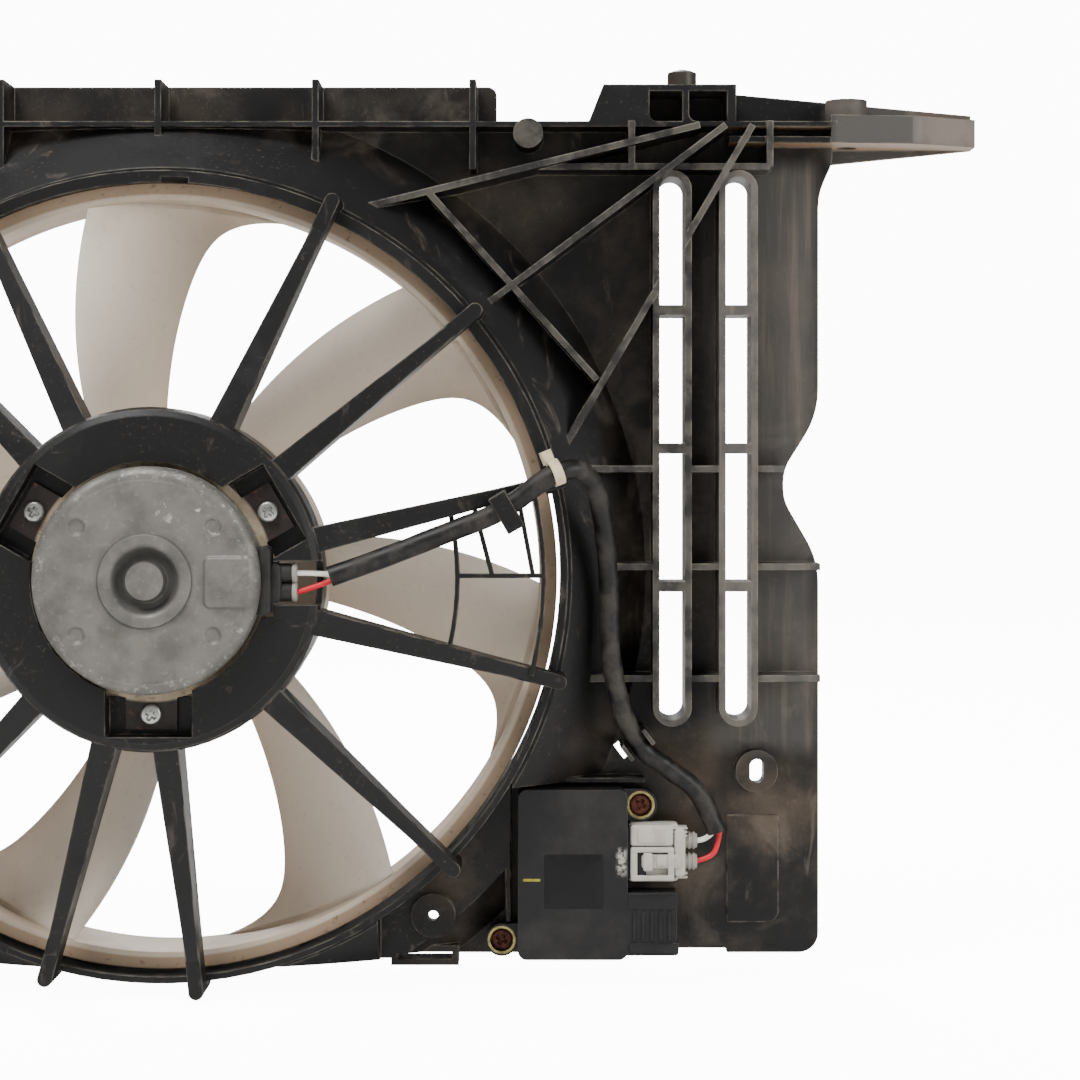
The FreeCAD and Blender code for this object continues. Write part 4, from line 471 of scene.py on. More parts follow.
@dataclass(frozen=True)
class EarSteel:
    """The stamped steel ring and ears that hold the motor, zinc plated and stained.

    The eye reads a tan, dusty ring close to the can and ears that are dark brown with rust.
    """

    name: str = "zinc_plated_steel_stamped"
    ring: str = "#a2937c"
    ear: str = "#2b2320"
    rust: str = "#5d3a2a"

    def material(self) -> bpy.types.Material:
        """Builds the finish as a material."""
        coat = Coat(self.name, self.ring, metallic=0.35)
        clouds = coat.patches(8, (0.38, 0.68), detail=6)
        rusty = coat.patches(4, (0.55, 0.72), detail=5, shift=3.9)
        coat.lay(self.ear, coat.ramp(coat.reach(), 52.0 * MM, 53.2 * MM))
        coat.lay(self.ear, clouds, 0.3)
        coat.lay(self.rust, rusty, 0.6)
        return coat.finish(clouds, (0.5, 0.68), (0.8, 0.04))


@dataclass(frozen=True)
class SoftSkin:
    """Smooth extruded or moulded rubber, vinyl and wire insulation.

    The eye reads an even colour with a soft sheen and a little dust rubbed along it.
    """

    name: str
    base: str
    dust: str
    roughness: float = 0.45
    ior: float = 1.52
    dust_strength: float = 0.25

    def material(self) -> bpy.types.Material:
        """Builds the finish as a material."""
        coat = Coat(self.name, self.base, ior=self.ior)
        dust = coat.patches(12, (0.42, 0.72), detail=6)
        coat.lay(self.dust, dust, self.dust_strength)
        return coat.finish(dust, (self.roughness, self.roughness + 0.25), (1.1, 0.03))


SHROUD_PLASTIC = ShroudPlastic()
FAN_PLASTIC = FanPlastic()
CASE_PLASTIC = MouldedPlastic("pbt_moulded_controller_case", "#19191a", "#5f5951", "#77726a",
                              roughness=(0.4, 0.6), cloud_size=40.0, cloud_strength=0.22, run_strength=0.15,
                              edge_strength=0.4, rub=((201.5, 205.2), (-134.0, -122.5)))
LABEL_FILM = MouldedPlastic("polyester_film_bare_black", "#0b0b0c", "#2f2c29", "#3a3835",
                            roughness=(0.42, 0.55), cloud_size=12.0, cloud_strength=0.08, run_strength=0.1,
                            edge_strength=0.2)
PAINT_YELLOW = MouldedPlastic("paint_pen_yellow", "#9c8f2e", "#4d4a2b", "#8f8438", cloud_size=3.0,
                              cloud_strength=0.6)
PLUG_PLASTIC = MouldedPlastic("pbt_moulded_light_grey", "#b3aea5", "#6b645b", "#cfcbc2",
                              roughness=(0.45, 0.65), cloud_size=9.0, cloud_strength=0.4, run_strength=0.2)
TIE_NYLON = MouldedPlastic("nylon_moulded_cable_tie", "#cfc19f", "#8d7d62", "#ded3b8", cloud_size=6.0,
                           cloud_strength=0.5)
CAN_STEEL = MotorSteel()
COVER_STEEL = PlatedSteel("zinc_plated_steel_drawn", "#8f908e", "#73726f", "#c4c3bd")
EAR_STEEL = EarSteel()
BRIGHT_STEEL = PlatedSteel("turned_steel_bright", "#b4b4b0", "#8c8b87", "#9a7a5c", roughness=0.3)
RUSTED_STEEL = PlatedSteel("yellow_zinc_steel_rusted", "#5d2c1c", "#3a1a12", "#a3774f", roughness=0.55,
                           metallic=0.35, spangle_size=3.0, spot_size=1.2)
BRASS = PlatedSteel("brass_turned_dull", "#a89a68", "#77704c", "#cabf9b", roughness=0.35, metallic=0.9,
                    spangle_size=3.0)
FERRITE = PlatedSteel("ferrite_sintered", "#3a3a3b", "#2b2b2c", "#555555", roughness=0.6, metallic=0.3)
COPPER = PlatedSteel("enamelled_copper_wound", "#a4633d", "#7d4427", "#c08158", roughness=0.35)
CORE_STEEL = PlatedSteel("electrical_steel_stacked", "#77787a", "#606163", "#8b6e58", roughness=0.45)
CAST_ALUMINIUM = PlatedSteel("aluminium_die_cast", "#a6a7a8", "#8a8b8c", "#c9c9c6", roughness=0.5)
SLEEVE_VINYL = SoftSkin("pvc_sleeve_extruded", "#121110", "#6b6258")
GROMMET_RUBBER = SoftSkin("epdm_grommet_moulded", "#161615", "#4f4a44", roughness=0.5)
SEAL_RUBBER = SoftSkin("silicone_seal_moulded", "#8d8880", "#5d574f", roughness=0.55)
WHITE_WIRE = SoftSkin("pvc_wire_insulation_white", "#e8e4dc", "#9c9284", roughness=0.35)
RED_WIRE = SoftSkin("pvc_wire_insulation_red", "#c8202c", "#6e1a1c", roughness=0.35)
CARBON = SoftSkin("carbon_brush_pressed", "#222222", "#3a3a3a", roughness=0.6)
PHENOLIC = SoftSkin("phenolic_moulded", "#4a2f1e", "#6b4a33", roughness=0.5)
BOARD = SoftSkin("glass_epoxy_board", "#1f4a2c", "#3d6a47", roughness=0.4)

NODE_FINISH = {
    "fan_shroud": SHROUD_PLASTIC, "fan": FAN_PLASTIC, "hub_insert": BRIGHT_STEEL,
    "fan_washer": BRIGHT_STEEL, "fan_nut": BRIGHT_STEEL, "motor_can": CAN_STEEL,
    "motor_front_cover": COVER_STEEL, "motor_mounting_ring": EAR_STEEL, "motor_screws": BRIGHT_STEEL,
    "motor_magnets": FERRITE, "front_bearing": BRIGHT_STEEL, "rear_bearing": BRASS,
    "brush_holder": PHENOLIC, "brushes": CARBON, "brush_springs": BRIGHT_STEEL,
    "armature_core": CORE_STEEL, "armature_windings": COPPER, "commutator": COPPER,
    "motor_shaft": BRIGHT_STEEL, "controller_case": CASE_PLASTIC, "controller_base": CAST_ALUMINIUM,
    "controller_board": BOARD, "heat_pad": SEAL_RUBBER, "controller_capacitors": CAST_ALUMINIUM,
    "controller_terminals": COPPER, "controller_bushings": BRASS, "controller_screws": RUSTED_STEEL,
    "plug_housing": PLUG_PLASTIC, "plug_lock": PLUG_PLASTIC, "plug_seals": SEAL_RUBBER,
    "motor_lead_grommet": GROMMET_RUBBER, "harness_sleeve": SLEEVE_VINYL, "wire_white": WHITE_WIRE,
    "wire_red": RED_WIRE, "cable_tie": TIE_NYLON,
}


def grid_faces(rows: int, columns: int, closed: bool) -> np.ndarray:
    """Quads between neighbouring rows of points that each run round in a ring.

    Args:
        rows: How many rings there are.
        columns: Points in each ring.
        closed: Whether the last ring joins the first.

    Returns:
        The quads as point numbers, one quad a line.
    """
    row = np.arange(rows if closed else rows - 1)[:, None] * columns
    after = (row + columns) % (rows * columns)
    column = np.arange(columns)[None]
    beside = (column + 1) % columns
    return np.stack([row + column, row + beside, after + beside, after + column], axis=-1).reshape(-1, 4)


def around(radius: np.ndarray, depth: np.ndarray, turn: np.ndarray) -> np.ndarray:
    """Points (X, depth, Z) at these distances from the fan axis, depths and angles about it."""
    return np.stack(np.broadcast_arrays(radius * np.cos(turn), depth, radius * np.sin(turn)), axis=-1)


@dataclass
class Form:
    """Closed surfaces in millimetres, gathered until they become one mesh.

    Attributes:
        points: Arrays of (X, depth, Z) points.
        faces: Arrays of quads into all points so far.
        across: For each point a number that the material can read.
    """

    points: list[np.ndarray] = field(default_factory=list)
    faces: list[np.ndarray] = field(default_factory=list)
    across: list[np.ndarray] = field(default_factory=list)

    def add(self, points: np.ndarray, faces: np.ndarray, across: np.ndarray | None = None) -> None:
        """Adds a closed surface and turns its faces outwards by the sign of its volume.

        Args:
            points: The surface's points.
            faces: Its quads.
            across: A number for each point, or None for zero.
        """
        real = points * (1, -1, 1)
        first, second, third, fourth = (real[faces[:, corner]] for corner in range(4))
        volume = np.einsum("ij,ij->", first, np.cross(second, third) + np.cross(third, fourth))
        start = sum(map(len, self.points))
        self.points.append(points)
        self.faces.append((faces if volume > 0 else faces[:, ::-1]) + start)
        self.across.append(np.zeros(len(points)) if across is None else across)

    def loft(self, rings: np.ndarray, across: np.ndarray | None = None) -> None:
        """Adds a body through a row of rings, closed at both ends by the middle of the end ring.

        Args:
            rings: Points as rings by places by three.
            across: A number for each point of each ring.
        """
        ends = [np.broadcast_to(ring.mean(axis=0), ring.shape)[None] for ring in (rings[0], rings[-1])]
        whole = np.concatenate([ends[0], rings, ends[1]])
        if across is not None:
            across = np.concatenate([across[:1], across, across[-1:]]).ravel()
        self.add(whole.reshape(-1, 3), grid_faces(len(whole), whole.shape[1], False), across)

    def band(self, profile: list[tuple[float, float]], steps: int) -> None:
        """Adds a ring round the fan axis: a closed profile of (radius, depth) points carried round it."""
        turn = np.linspace(0, 2 * math.pi, steps, endpoint=False)[:, None]
        radius, depth = np.array(profile).T
        self.add(around(radius, depth, turn).reshape(-1, 3), grid_faces(steps, len(profile), True))

    def slab(self, x: tuple[float, float], depth: tuple[float, float], z: tuple[float, float],
             corner: float = 1.0, edge: float = 0.4) -> None:
        """Adds a block with rounded upright corners and rounded edges at both depths.

        The outline in X and Z is a rectangle with quarter circles at its corners. It is drawn in by
        the edge radius times one minus the sine of an angle that rises to a right angle, and carried
        in depth by one minus the cosine.

        Args:
            x: Left and right side.
            depth: Radiator-side and engine-side face.
            z: Lowest and highest side.
            corner: Radius of the upright corners.
            edge: Radius of the edges round both faces.
        """
        rise = np.linspace(0, math.pi / 2, 4)
        inset = edge * (1 - np.sin(rise))
        along = edge * (1 - np.cos(rise))
        levels = np.concatenate([depth[0] + along, depth[1] - along[::-1]])
        insets = np.concatenate([inset, inset[::-1]])[:, None]
        turn = np.linspace(0, math.pi / 2, 5)
        angle = np.concatenate([turn + quarter * math.pi / 2 for quarter in range(4)])
        sign_x = np.repeat([1, -1, -1, 1], 5)
        sign_z = np.repeat([1, 1, -1, -1], 5)
        half_x, half_z = (x[1] - x[0]) / 2, (z[1] - z[0]) / 2
        radius = np.maximum(corner - insets, 0.02)
        place_x = (x[0] + x[1]) / 2 + sign_x * (half_x - insets - radius) + radius * np.cos(angle)
        place_z = (z[0] + z[1]) / 2 + sign_z * (half_z - insets - radius) + radius * np.sin(angle)
        self.loft(np.stack(np.broadcast_arrays(place_x, levels[:, None], place_z), axis=-1))

    def slabs(self, *blocks: tuple) -> None:
        """Adds several blocks, each given as what slab takes."""
        for block in blocks:
            self.slab(*block)

    def lying(self, profile: list[tuple[float, float]], depth: float, z: float, steps: int = 28) -> None:
        """Adds a turned part that lies along X: its profile of (X, radius) points carried round."""
        turn = np.linspace(0, 2 * math.pi, steps, endpoint=False)
        x, radius = (column[:, None] for column in np.array(profile).T)
        self.loft(np.stack(np.broadcast_arrays(x, depth + radius * np.cos(turn), z + radius * np.sin(turn)),
                           axis=-1))

    def tube(self, path: np.ndarray, radius: np.ndarray) -> None:
        """Adds a tube along a path.

        Each ring stands square to the path. Its sides point along the cross product of the run and
        the fan axis, and square to both.

        Args:
            path: Points of the centre line.
            radius: A radius for each point of the path and each place round it.
        """
        run = np.gradient(path, axis=0)
        run /= np.linalg.norm(run, axis=1, keepdims=True)
        side = np.cross(run, (0, 1, 0))
        side /= np.linalg.norm(side, axis=1, keepdims=True)
        lift = np.cross(side, run)
        turn = np.linspace(0, 2 * math.pi, radius.shape[1], endpoint=False)[None, :, None]
        reach = radius[..., None] * (np.cos(turn) * side[:, None] + np.sin(turn) * lift[:, None])
        self.loft(path[:, None] + reach)


def put(name: str, data: bpy.types.ID) -> bpy.types.Object:
    """Puts a mesh, lamp or camera into the scene as an object of the same name."""
    item = bpy.data.objects.new(name, data)
    bpy.context.scene.collection.objects.link(item)
    return item


@dataclass
class Workshop:
    """Makes each finish once, dresses the model's nodes and turns forms into pieces."""

    made: dict[str, bpy.types.Material] = field(default_factory=dict)

    def finish(self, finish) -> bpy.types.Material:
        """The material of a finish, built at its first use."""
        if finish.name not in self.made:
            self.made[finish.name] = finish.material()
        return self.made[finish.name]

    def dress_node(self, name: str) -> None:
        """Gives a node of the model its finish."""
        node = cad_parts[name]
        material = self.finish(NODE_FINISH[name])
        node.data.materials.clear()
        node.data.materials.append(material)
        log.info("node %s: %s", name, material.name)

    def piece(self, name: str, form: Form, finish, replaced: tuple[str, ...] = (),
              body: Body = Body.SHROUD, sharp: float = 35.0) -> bpy.types.Object:
        """Turns a form into a piece that rides on a body.

        Args:
            name: The piece's name.
            form: Its closed surfaces.
            finish: Its finish.
            replaced: Nodes of the model that it stands for.
            body: The body that carries it.
            sharp: Edges that bend by more than this many degrees stay sharp.

        Returns:
            The new object.
        """
        points = np.concatenate(form.points) * (MM, -MM, MM)
        mesh = bpy.data.meshes.new(name)
        mesh.from_pydata(points.tolist(), [], np.concatenate(form.faces).tolist())
        mesh.attributes.new("across", "FLOAT", "POINT").data.foreach_set(
            "value", np.concatenate(form.across).astype(np.float32))
        shell = bmesh.new()
        shell.from_mesh(mesh)
        bmesh.ops.remove_doubles(shell, verts=shell.verts, dist=1e-6)
        shell.to_mesh(mesh)
        shell.free()
        mesh.shade_smooth()
        mesh.set_sharp_from_angle(angle=math.radians(sharp))
        mesh.materials.append(self.finish(finish))
        item = put(name, mesh)
        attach(item, body.value)
        if replaced:
            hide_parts(*replaced)
        log.info("piece %s on %s: %d faces", name, body.value, len(mesh.polygons))
        return item


def smooth_step(value: np.ndarray, start: float, end: float) -> np.ndarray:
    """Rises from zero at start to one at end along three squares less two cubes."""
    share = np.clip((value - start) / (end - start), 0, 1)
    return share * share * (3 - 2 * share)


def nurbs_path(route: tuple, fineness: int) -> np.ndarray:
    """Reads the smooth line that a NURBS spline of order three draws from a route's points.

    Args:
        route: Control points as (X, depth, Z).
        fineness: Steps from each control point to the next.

    Returns:
        Points of the line, in millimetres.
    """
    curve = bpy.data.curves.new("route", "CURVE")
    curve.dimensions = "3D"
    spline = curve.splines.new("NURBS")
    spline.points.add(len(route) - 1)
    spline.points.foreach_set("co", [value for x, depth, z in route for value in (x, depth, z, 1)])
    spline.order_u = 3
    spline.use_endpoint_u = True
    spline.resolution_u = fineness
    holder = bpy.data.objects.new("route", curve)
    line = bpy.data.meshes.new_from_object(holder)
    points = np.empty(3 * len(line.vertices))
    line.vertices.foreach_get("co", points)
    bpy.data.meshes.remove(line)
    bpy.data.objects.remove(holder)
    bpy.data.curves.remove(curve)
    return points.reshape(-1, 3)


@dataclass
class RingFan:
    """The seven-blade ring fan: hub cup, swept blades and the ring with a flange at both ends."""

    blades: int = 7
    hub_reach: float = 72.0
    ring_reach: float = 166.5
    ring_wall: float = 2.5
    radiator_flange: float = 173.0
    engine_flange: float = 174.4
    front: float = 22.0
    rear: float = 56.0
    blade_low_depth: float = 25.0
    blade_high_depth: float = 54.0
    camber: float = 3.4
    half_thick: float = 1.15
    # Angles of a blade's two edges at some radii, in degrees from the blade's own axis.
    low_edge: tuple = ((73.8, -10.5), (97.0, -12.3), (120.6, -15.0), (146.5, -18.2))
    high_edge: tuple = ((77.5, 13.0), (103.4, 9.1), (125.0, 5.5), (148.0, 1.9), (169.6, -1.6))
    fillet_turn: float = 11.5
    fillet_reach: float = 6.1
    fillet_end: float = 168.1
    hub_shoulder: float = 5.0
    hub_wall: float = 2.5
    hub_floor: float = 23.5
    boss_reach: float = 14.0
    boss_depth: float = 44.0
    bore: float = 8.05

    def blade(self, form: Form, turn: float) -> None:
        """Adds one blade.

        Both edges' angles are smooth curves of the radius, a square law through the edge's points,
        and the low edge adds a fillet at the ring that grows as a power of e. The depth runs evenly
        from one edge to the other less a parabola, the camber. Front and back lie half a thickness
        either side, along the normal, and the thickness falls off to the edges.

        Args:
            form: Where the blade goes.
            turn: Angle of the blade's axis, in radians.
        """
        radius = np.concatenate([np.linspace(self.hub_reach - 1.5, 150, 30), np.linspace(152, 167.6, 16)])
        share = (1 - np.cos(np.linspace(0, math.pi, 26))) / 2
        low = np.polyval(np.polyfit(*np.array(self.low_edge).T, 2), radius)
        low -= self.fillet_turn * np.exp((radius - self.fillet_end) / self.fillet_reach)
        high = np.polyval(np.polyfit(*np.array(self.high_edge).T, 2), radius)
        angle = turn + np.radians(low[:, None] + (high - low)[:, None] * share)
        bulge = self.camber * 4 * share * (1 - share)
        depth = self.blade_low_depth + (self.blade_high_depth - self.blade_low_depth) * share - bulge
        middle = around(radius[:, None], depth, angle)
        normal = np.cross(np.gradient(middle, axis=0), np.gradient(middle, axis=1))
        normal /= np.linalg.norm(normal, axis=-1, keepdims=True)
        thick = self.half_thick * (0.22 + 0.78 * (1 - (2 * share - 1) ** 8))[:, None]
        rings = np.concatenate([middle + normal * thick, (middle - normal * thick)[:, ::-1]], axis=1)
        across = np.broadcast_to(np.concatenate([share, share[::-1]]), rings.shape[:2])
        form.loft(rings, across)

    def hub(self, form: Form) -> None:
        """Adds the hub cup: a closed profile with a rounded shoulder, carried round the axis."""
        turn = np.linspace(0, math.pi / 2, 6)
        reach, rear, face = self.hub_reach, self.rear, self.front - 1
        boss, floor, end = self.boss_reach, self.hub_floor, self.boss_depth
        shoulder = reach - self.hub_shoulder
        outer, inner = ([(shoulder + bend * math.sin(t), face + self.hub_shoulder - bend * math.cos(t))
                         for t in turn] for bend in (self.hub_shoulder, self.hub_wall))
        form.band([(self.bore, face), *outer, (reach, rear - 0.6), (reach - 0.6, rear), (reach - 1.9, rear),
                   (reach - self.hub_wall, rear - 0.6), *inner[::-1],
                   (boss + 1, floor), (boss, floor + 1), (boss, end), (self.bore, end)], 160)

    def ring(self, form: Form) -> None:
        """Adds the ring: a closed profile with a flange at both ends and rounded edges."""
        inside, outside = self.ring_reach, self.ring_reach + self.ring_wall
        front, rear, lip = self.front, self.rear, 2.6
        near, far = self.radiator_flange, self.engine_flange
        form.band([(inside, front + 0.7), (inside + 0.7, front), (near - 0.5, front), (near, front + 0.5),
                   (near, front + lip - 0.5), (near - 0.5, front + lip), (outside + 0.8, front + lip),
                   (outside, front + lip + 0.8), (outside, rear - lip - 0.8), (outside + 0.8, rear - lip),
                   (far - 0.5, rear - lip), (far, rear - lip + 0.5), (far, rear - 0.5), (far - 0.5, rear),
                   (inside + 1.4, rear), (inside + 0.4, rear - 0.5), (inside, rear - 1.5)], 360)

    def build(self, workshop: Workshop) -> None:
        """Makes the fan as one moulding."""
        form = Form()
        self.hub(form)
        self.ring(form)
        for number in range(self.blades):
            self.blade(form, 2 * math.pi * number / self.blades)
        workshop.piece("ring_fan", form, FAN_PLASTIC, ("fan",), Body.ROTOR)


@dataclass
class MotorCan:
    """The drawn motor can with its annular step, bearing boss, dimples and pressed lead pad."""

    reach: float = 48.5
    rear: float = 110.0
    front: float = 50.0
    wall: float = 2.0
    rim: float = 4.5
    step_reach: float = 20.0
    step_high: float = 1.2
    # The radii between which the recess slopes down.
    recess_slope: tuple[float, float] = (11.6, 15.6)
    recess_deep: float = 3.2
    boss_reach: float = 8.6
    # How far the boss's end lies below the annular step.
    boss_short: float = 0.2
    slope: float = 0.9
    dimple_reach: float = 3.8
    dimple_deep: float = 1.0
    dimple_slope: float = 1.3
    dimple_ring: float = 0.25
    dimple_circle: float = 36.8
    dimple_angle: float = 38.5
    pad_left: float = 25.0
    pad_low: float = -11.6
    pad_high: float = 10.3
    pad_rise: float = 1.3
    pad_corner: float = 3.0
    pad_slope: tuple[float, float] = (2.2, 3.4)
    groove_reach: float = 43.4
    groove_half: float = 0.5
    groove_deep: float = 0.35
    # The two ends of the crease across the pad, in X and Z.
    crease: tuple = ((32.7, -7.8), (44.1, 5.7))
    crease_half: float = 0.6
    crease_rise: float = 0.9
    # How dark the painted shade on steep places and the dirt with painted shade in the recess are,
    # the slopes between which the painted shade comes, and the radius and half width of the recess ring.
    slope_shade: float = 0.45
    recess_dirt_and_shade: float = 0.8
    shaded_slope: tuple[float, float] = (0.35, 1.5)
    recess_shade_reach: float = 10.9
    recess_shade_half: float = 2.0
    steps: int = 400

    def face(self, radius: np.ndarray, turn: np.ndarray) -> np.ndarray:
        """How far the rear face stands out at each point.

        It is a sum of smooth steps: up at the annulus, down into the recess, up on the boss, a dip
        with a small raised ring for each dimple, the pad with rounded corners as the distance to a
        rectangle, and a raised crease aslant over the pad.

        Args:
            radius: Distance from the axis.
            turn: Angle about it, in radians.

        Returns:
            The rise above the face, in millimetres.
        """
        half = self.slope / 2
        radius, turn = np.broadcast_arrays(radius, turn)
        rise = self.step_high * (1 - smooth_step(radius, self.step_reach - half, self.step_reach + half))
        drop = self.step_high + self.recess_deep
        rise -= drop * (1 - smooth_step(radius, *self.recess_slope))
        boss = 1 - smooth_step(radius, self.boss_reach - half, self.boss_reach + half)
        rise += (drop - self.boss_short) * boss
        rise -= self.groove_deep * np.exp(-((radius - self.groove_reach) / self.groove_half) ** 2)
        x, z = radius * np.cos(turn), radius * np.sin(turn)
        tilt, reach = self.dimple_angle, self.dimple_reach
        for angle in (tilt, 180 - tilt, 180 + tilt, -tilt):
            apart = np.hypot(x - self.dimple_circle * math.cos(math.radians(angle)),
                             z - self.dimple_circle * math.sin(math.radians(angle)))
            rise -= self.dimple_deep * (1 - smooth_step(apart, reach - self.dimple_slope, reach))
            rise += self.dimple_ring * np.exp(-((apart - reach - 0.5) / 0.6) ** 2)
        corner = self.pad_corner
        out_x = np.maximum(self.pad_left + corner - x, 0)
        out_z = np.maximum(np.maximum(self.pad_low + corner - z, z - self.pad_high + corner), 0)
        edge = np.hypot(out_x, out_z)
        on_face = 1 - smooth_step(radius, self.reach - self.rim - 0.5, self.reach)
        pad = (1 - smooth_step(edge, *self.pad_slope)) * on_face
        start, end = (np.array(point) for point in self.crease)
        run = end - start
        along = ((x - start[0]) * run[0] + (z - start[1]) * run[1]) / (run @ run)
        aside = ((x - start[0]) * run[1] - (z - start[1]) * run[0]) / math.hypot(*run)
        crease = np.exp(-(aside / self.crease_half) ** 2)
        crease = crease * smooth_step(along, -0.05, 0.1) * (1 - smooth_step(along, 0.9, 1.05))
        return rise + self.pad_rise * pad + self.crease_rise * crease

    def build(self, workshop: Workshop) -> None:
        """Makes the can: a profile carried round the axis, outside first and then back inside."""
        turn = np.linspace(0, 2 * math.pi, self.steps, endpoint=False)[None]
        # The radii across the face lie closest together on the recess and the annular step.
        flat = np.concatenate([[0.6, 3, 6], np.arange(7.8, 14, 0.3), np.arange(15, 19, 1.2),
                               np.arange(19.2, 21, 0.3), np.arange(21.6, self.reach - self.rim, 0.62)])
        bend = np.linspace(0, math.pi / 2, 9)
        corner = self.reach - self.rim + self.rim * np.sin(bend)
        down = np.linspace(self.rear - self.rim, self.front, 8)[1:]
        radius = np.concatenate([flat, corner, np.full(len(down), self.reach)])
        depth = np.concatenate([np.full(len(flat), self.rear), self.rear - self.rim * (1 - np.cos(bend)),
                                down])[:, None]
        outer_depth = depth + self.face(radius[:, None], turn) * (radius < self.reach - 0.1)[:, None]
        inner = self.reach - self.wall
        floor = self.rear - self.recess_deep - self.wall
        back = np.array([(inner, self.front), (inner, floor - 4), (inner - 2, floor - 1.6),
                         (inner - 4, floor), (8, floor)])
        radius = np.concatenate([radius, back[:, 0]])
        depth = np.concatenate([outer_depth, np.repeat(back[:, 1:], self.steps, axis=1)])
        outward = np.gradient(depth, axis=0) / np.maximum(np.abs(np.gradient(radius))[:, None], 0.3)
        sideways = np.gradient(depth, axis=1) / (radius[:, None] * 2 * math.pi / self.steps)
        # Painted shade: darker on every steep place, such as the pad's outline and the dimples, and dirt
        # with painted shade in a ring in the recess. Both go to the material as "across".
        painted_slope_shade = self.slope_shade * smooth_step(np.hypot(outward, sideways), *self.shaded_slope)
        recess_shade_and_dirt = self.recess_dirt_and_shade * np.exp(-((radius[:, None] - self.recess_shade_reach) / self.recess_shade_half) ** 4)
        shade_and_dirt_mask = np.maximum(painted_slope_shade, recess_shade_and_dirt) * (radius < self.reach - self.rim)[:, None]
        form = Form()
        form.loft(around(radius[:, None], depth, turn), shade_and_dirt_mask)
        workshop.piece("drawn_motor_can", form, CAN_STEEL, ("motor_can",), sharp=50.0)


@dataclass
class CrossScrews:
    """Pan-head screws with a cross recess.

    Attributes:
        name: The piece's name.
        node: The node of the model that it stands for.
        places: X and Z of each screw.
        seat: Depth that the heads rest at.
        high: Height of the heads.
        reach: Radius of the heads.
        shank: Radius of the shanks.
        long: How far the shanks go in.
    """

    name: str
    node: str
    finish: PlatedSteel
    places: tuple
    seat: float
    high: float
    reach: float
    shank: float
    long: float
    recess_half: float = 0.75
    recess_reach: float = 2.7
    recess_deep: float = 1.5
    # In radians, how far the cross is turned.
    recess_turn: float = 0.5
    rim: float = 0.8
    rim_fall: float = 0.7
    dome: float = 0.5
    steps: int = 72

    def build(self, workshop: Workshop) -> None:
        """Makes the screws: a domed profile round each axis with a cross pressed into its face.

        The face falls by a square law from the middle to a rounded edge. The cross is where the
        smaller of the two distances to the arms' middle lines is under their half width.
        """
        turn = np.linspace(0, 2 * math.pi, self.steps, endpoint=False)[None]
        flat = self.reach - self.rim
        radius = np.concatenate([np.linspace(0.15, flat, 20),
                                 flat + self.rim * np.sin(np.linspace(0.2, math.pi / 2, 4))])[:, None]
        top = self.seat + self.high - self.dome * (radius / self.reach) ** 2
        top = top - self.rim_fall * np.clip((radius - flat) / self.rim, 0, 1) ** 2
        x, z = radius * np.cos(turn + self.recess_turn), radius * np.sin(turn + self.recess_turn)
        near = np.minimum(np.abs(x), np.abs(z))
        cross = 1 - smooth_step(near, self.recess_half - 0.2, self.recess_half + 0.25)
        cross = cross * (1 - smooth_step(np.hypot(x, z), self.recess_reach - 0.4, self.recess_reach))
        outer = top - self.recess_deep * cross
        lower = np.array([(self.reach, self.seat), (self.shank, self.seat),
                          (self.shank, self.seat - self.long)])
        radius = np.concatenate([radius, lower[:, :1]])
        depth = np.concatenate([outer, np.repeat(lower[:, 1:], self.steps, axis=1)])
        form = Form()
        for x, z in self.places:
            form.loft(around(radius, depth, turn) + (x, 0, z))
        workshop.piece(self.name, form, self.finish, (self.node,))


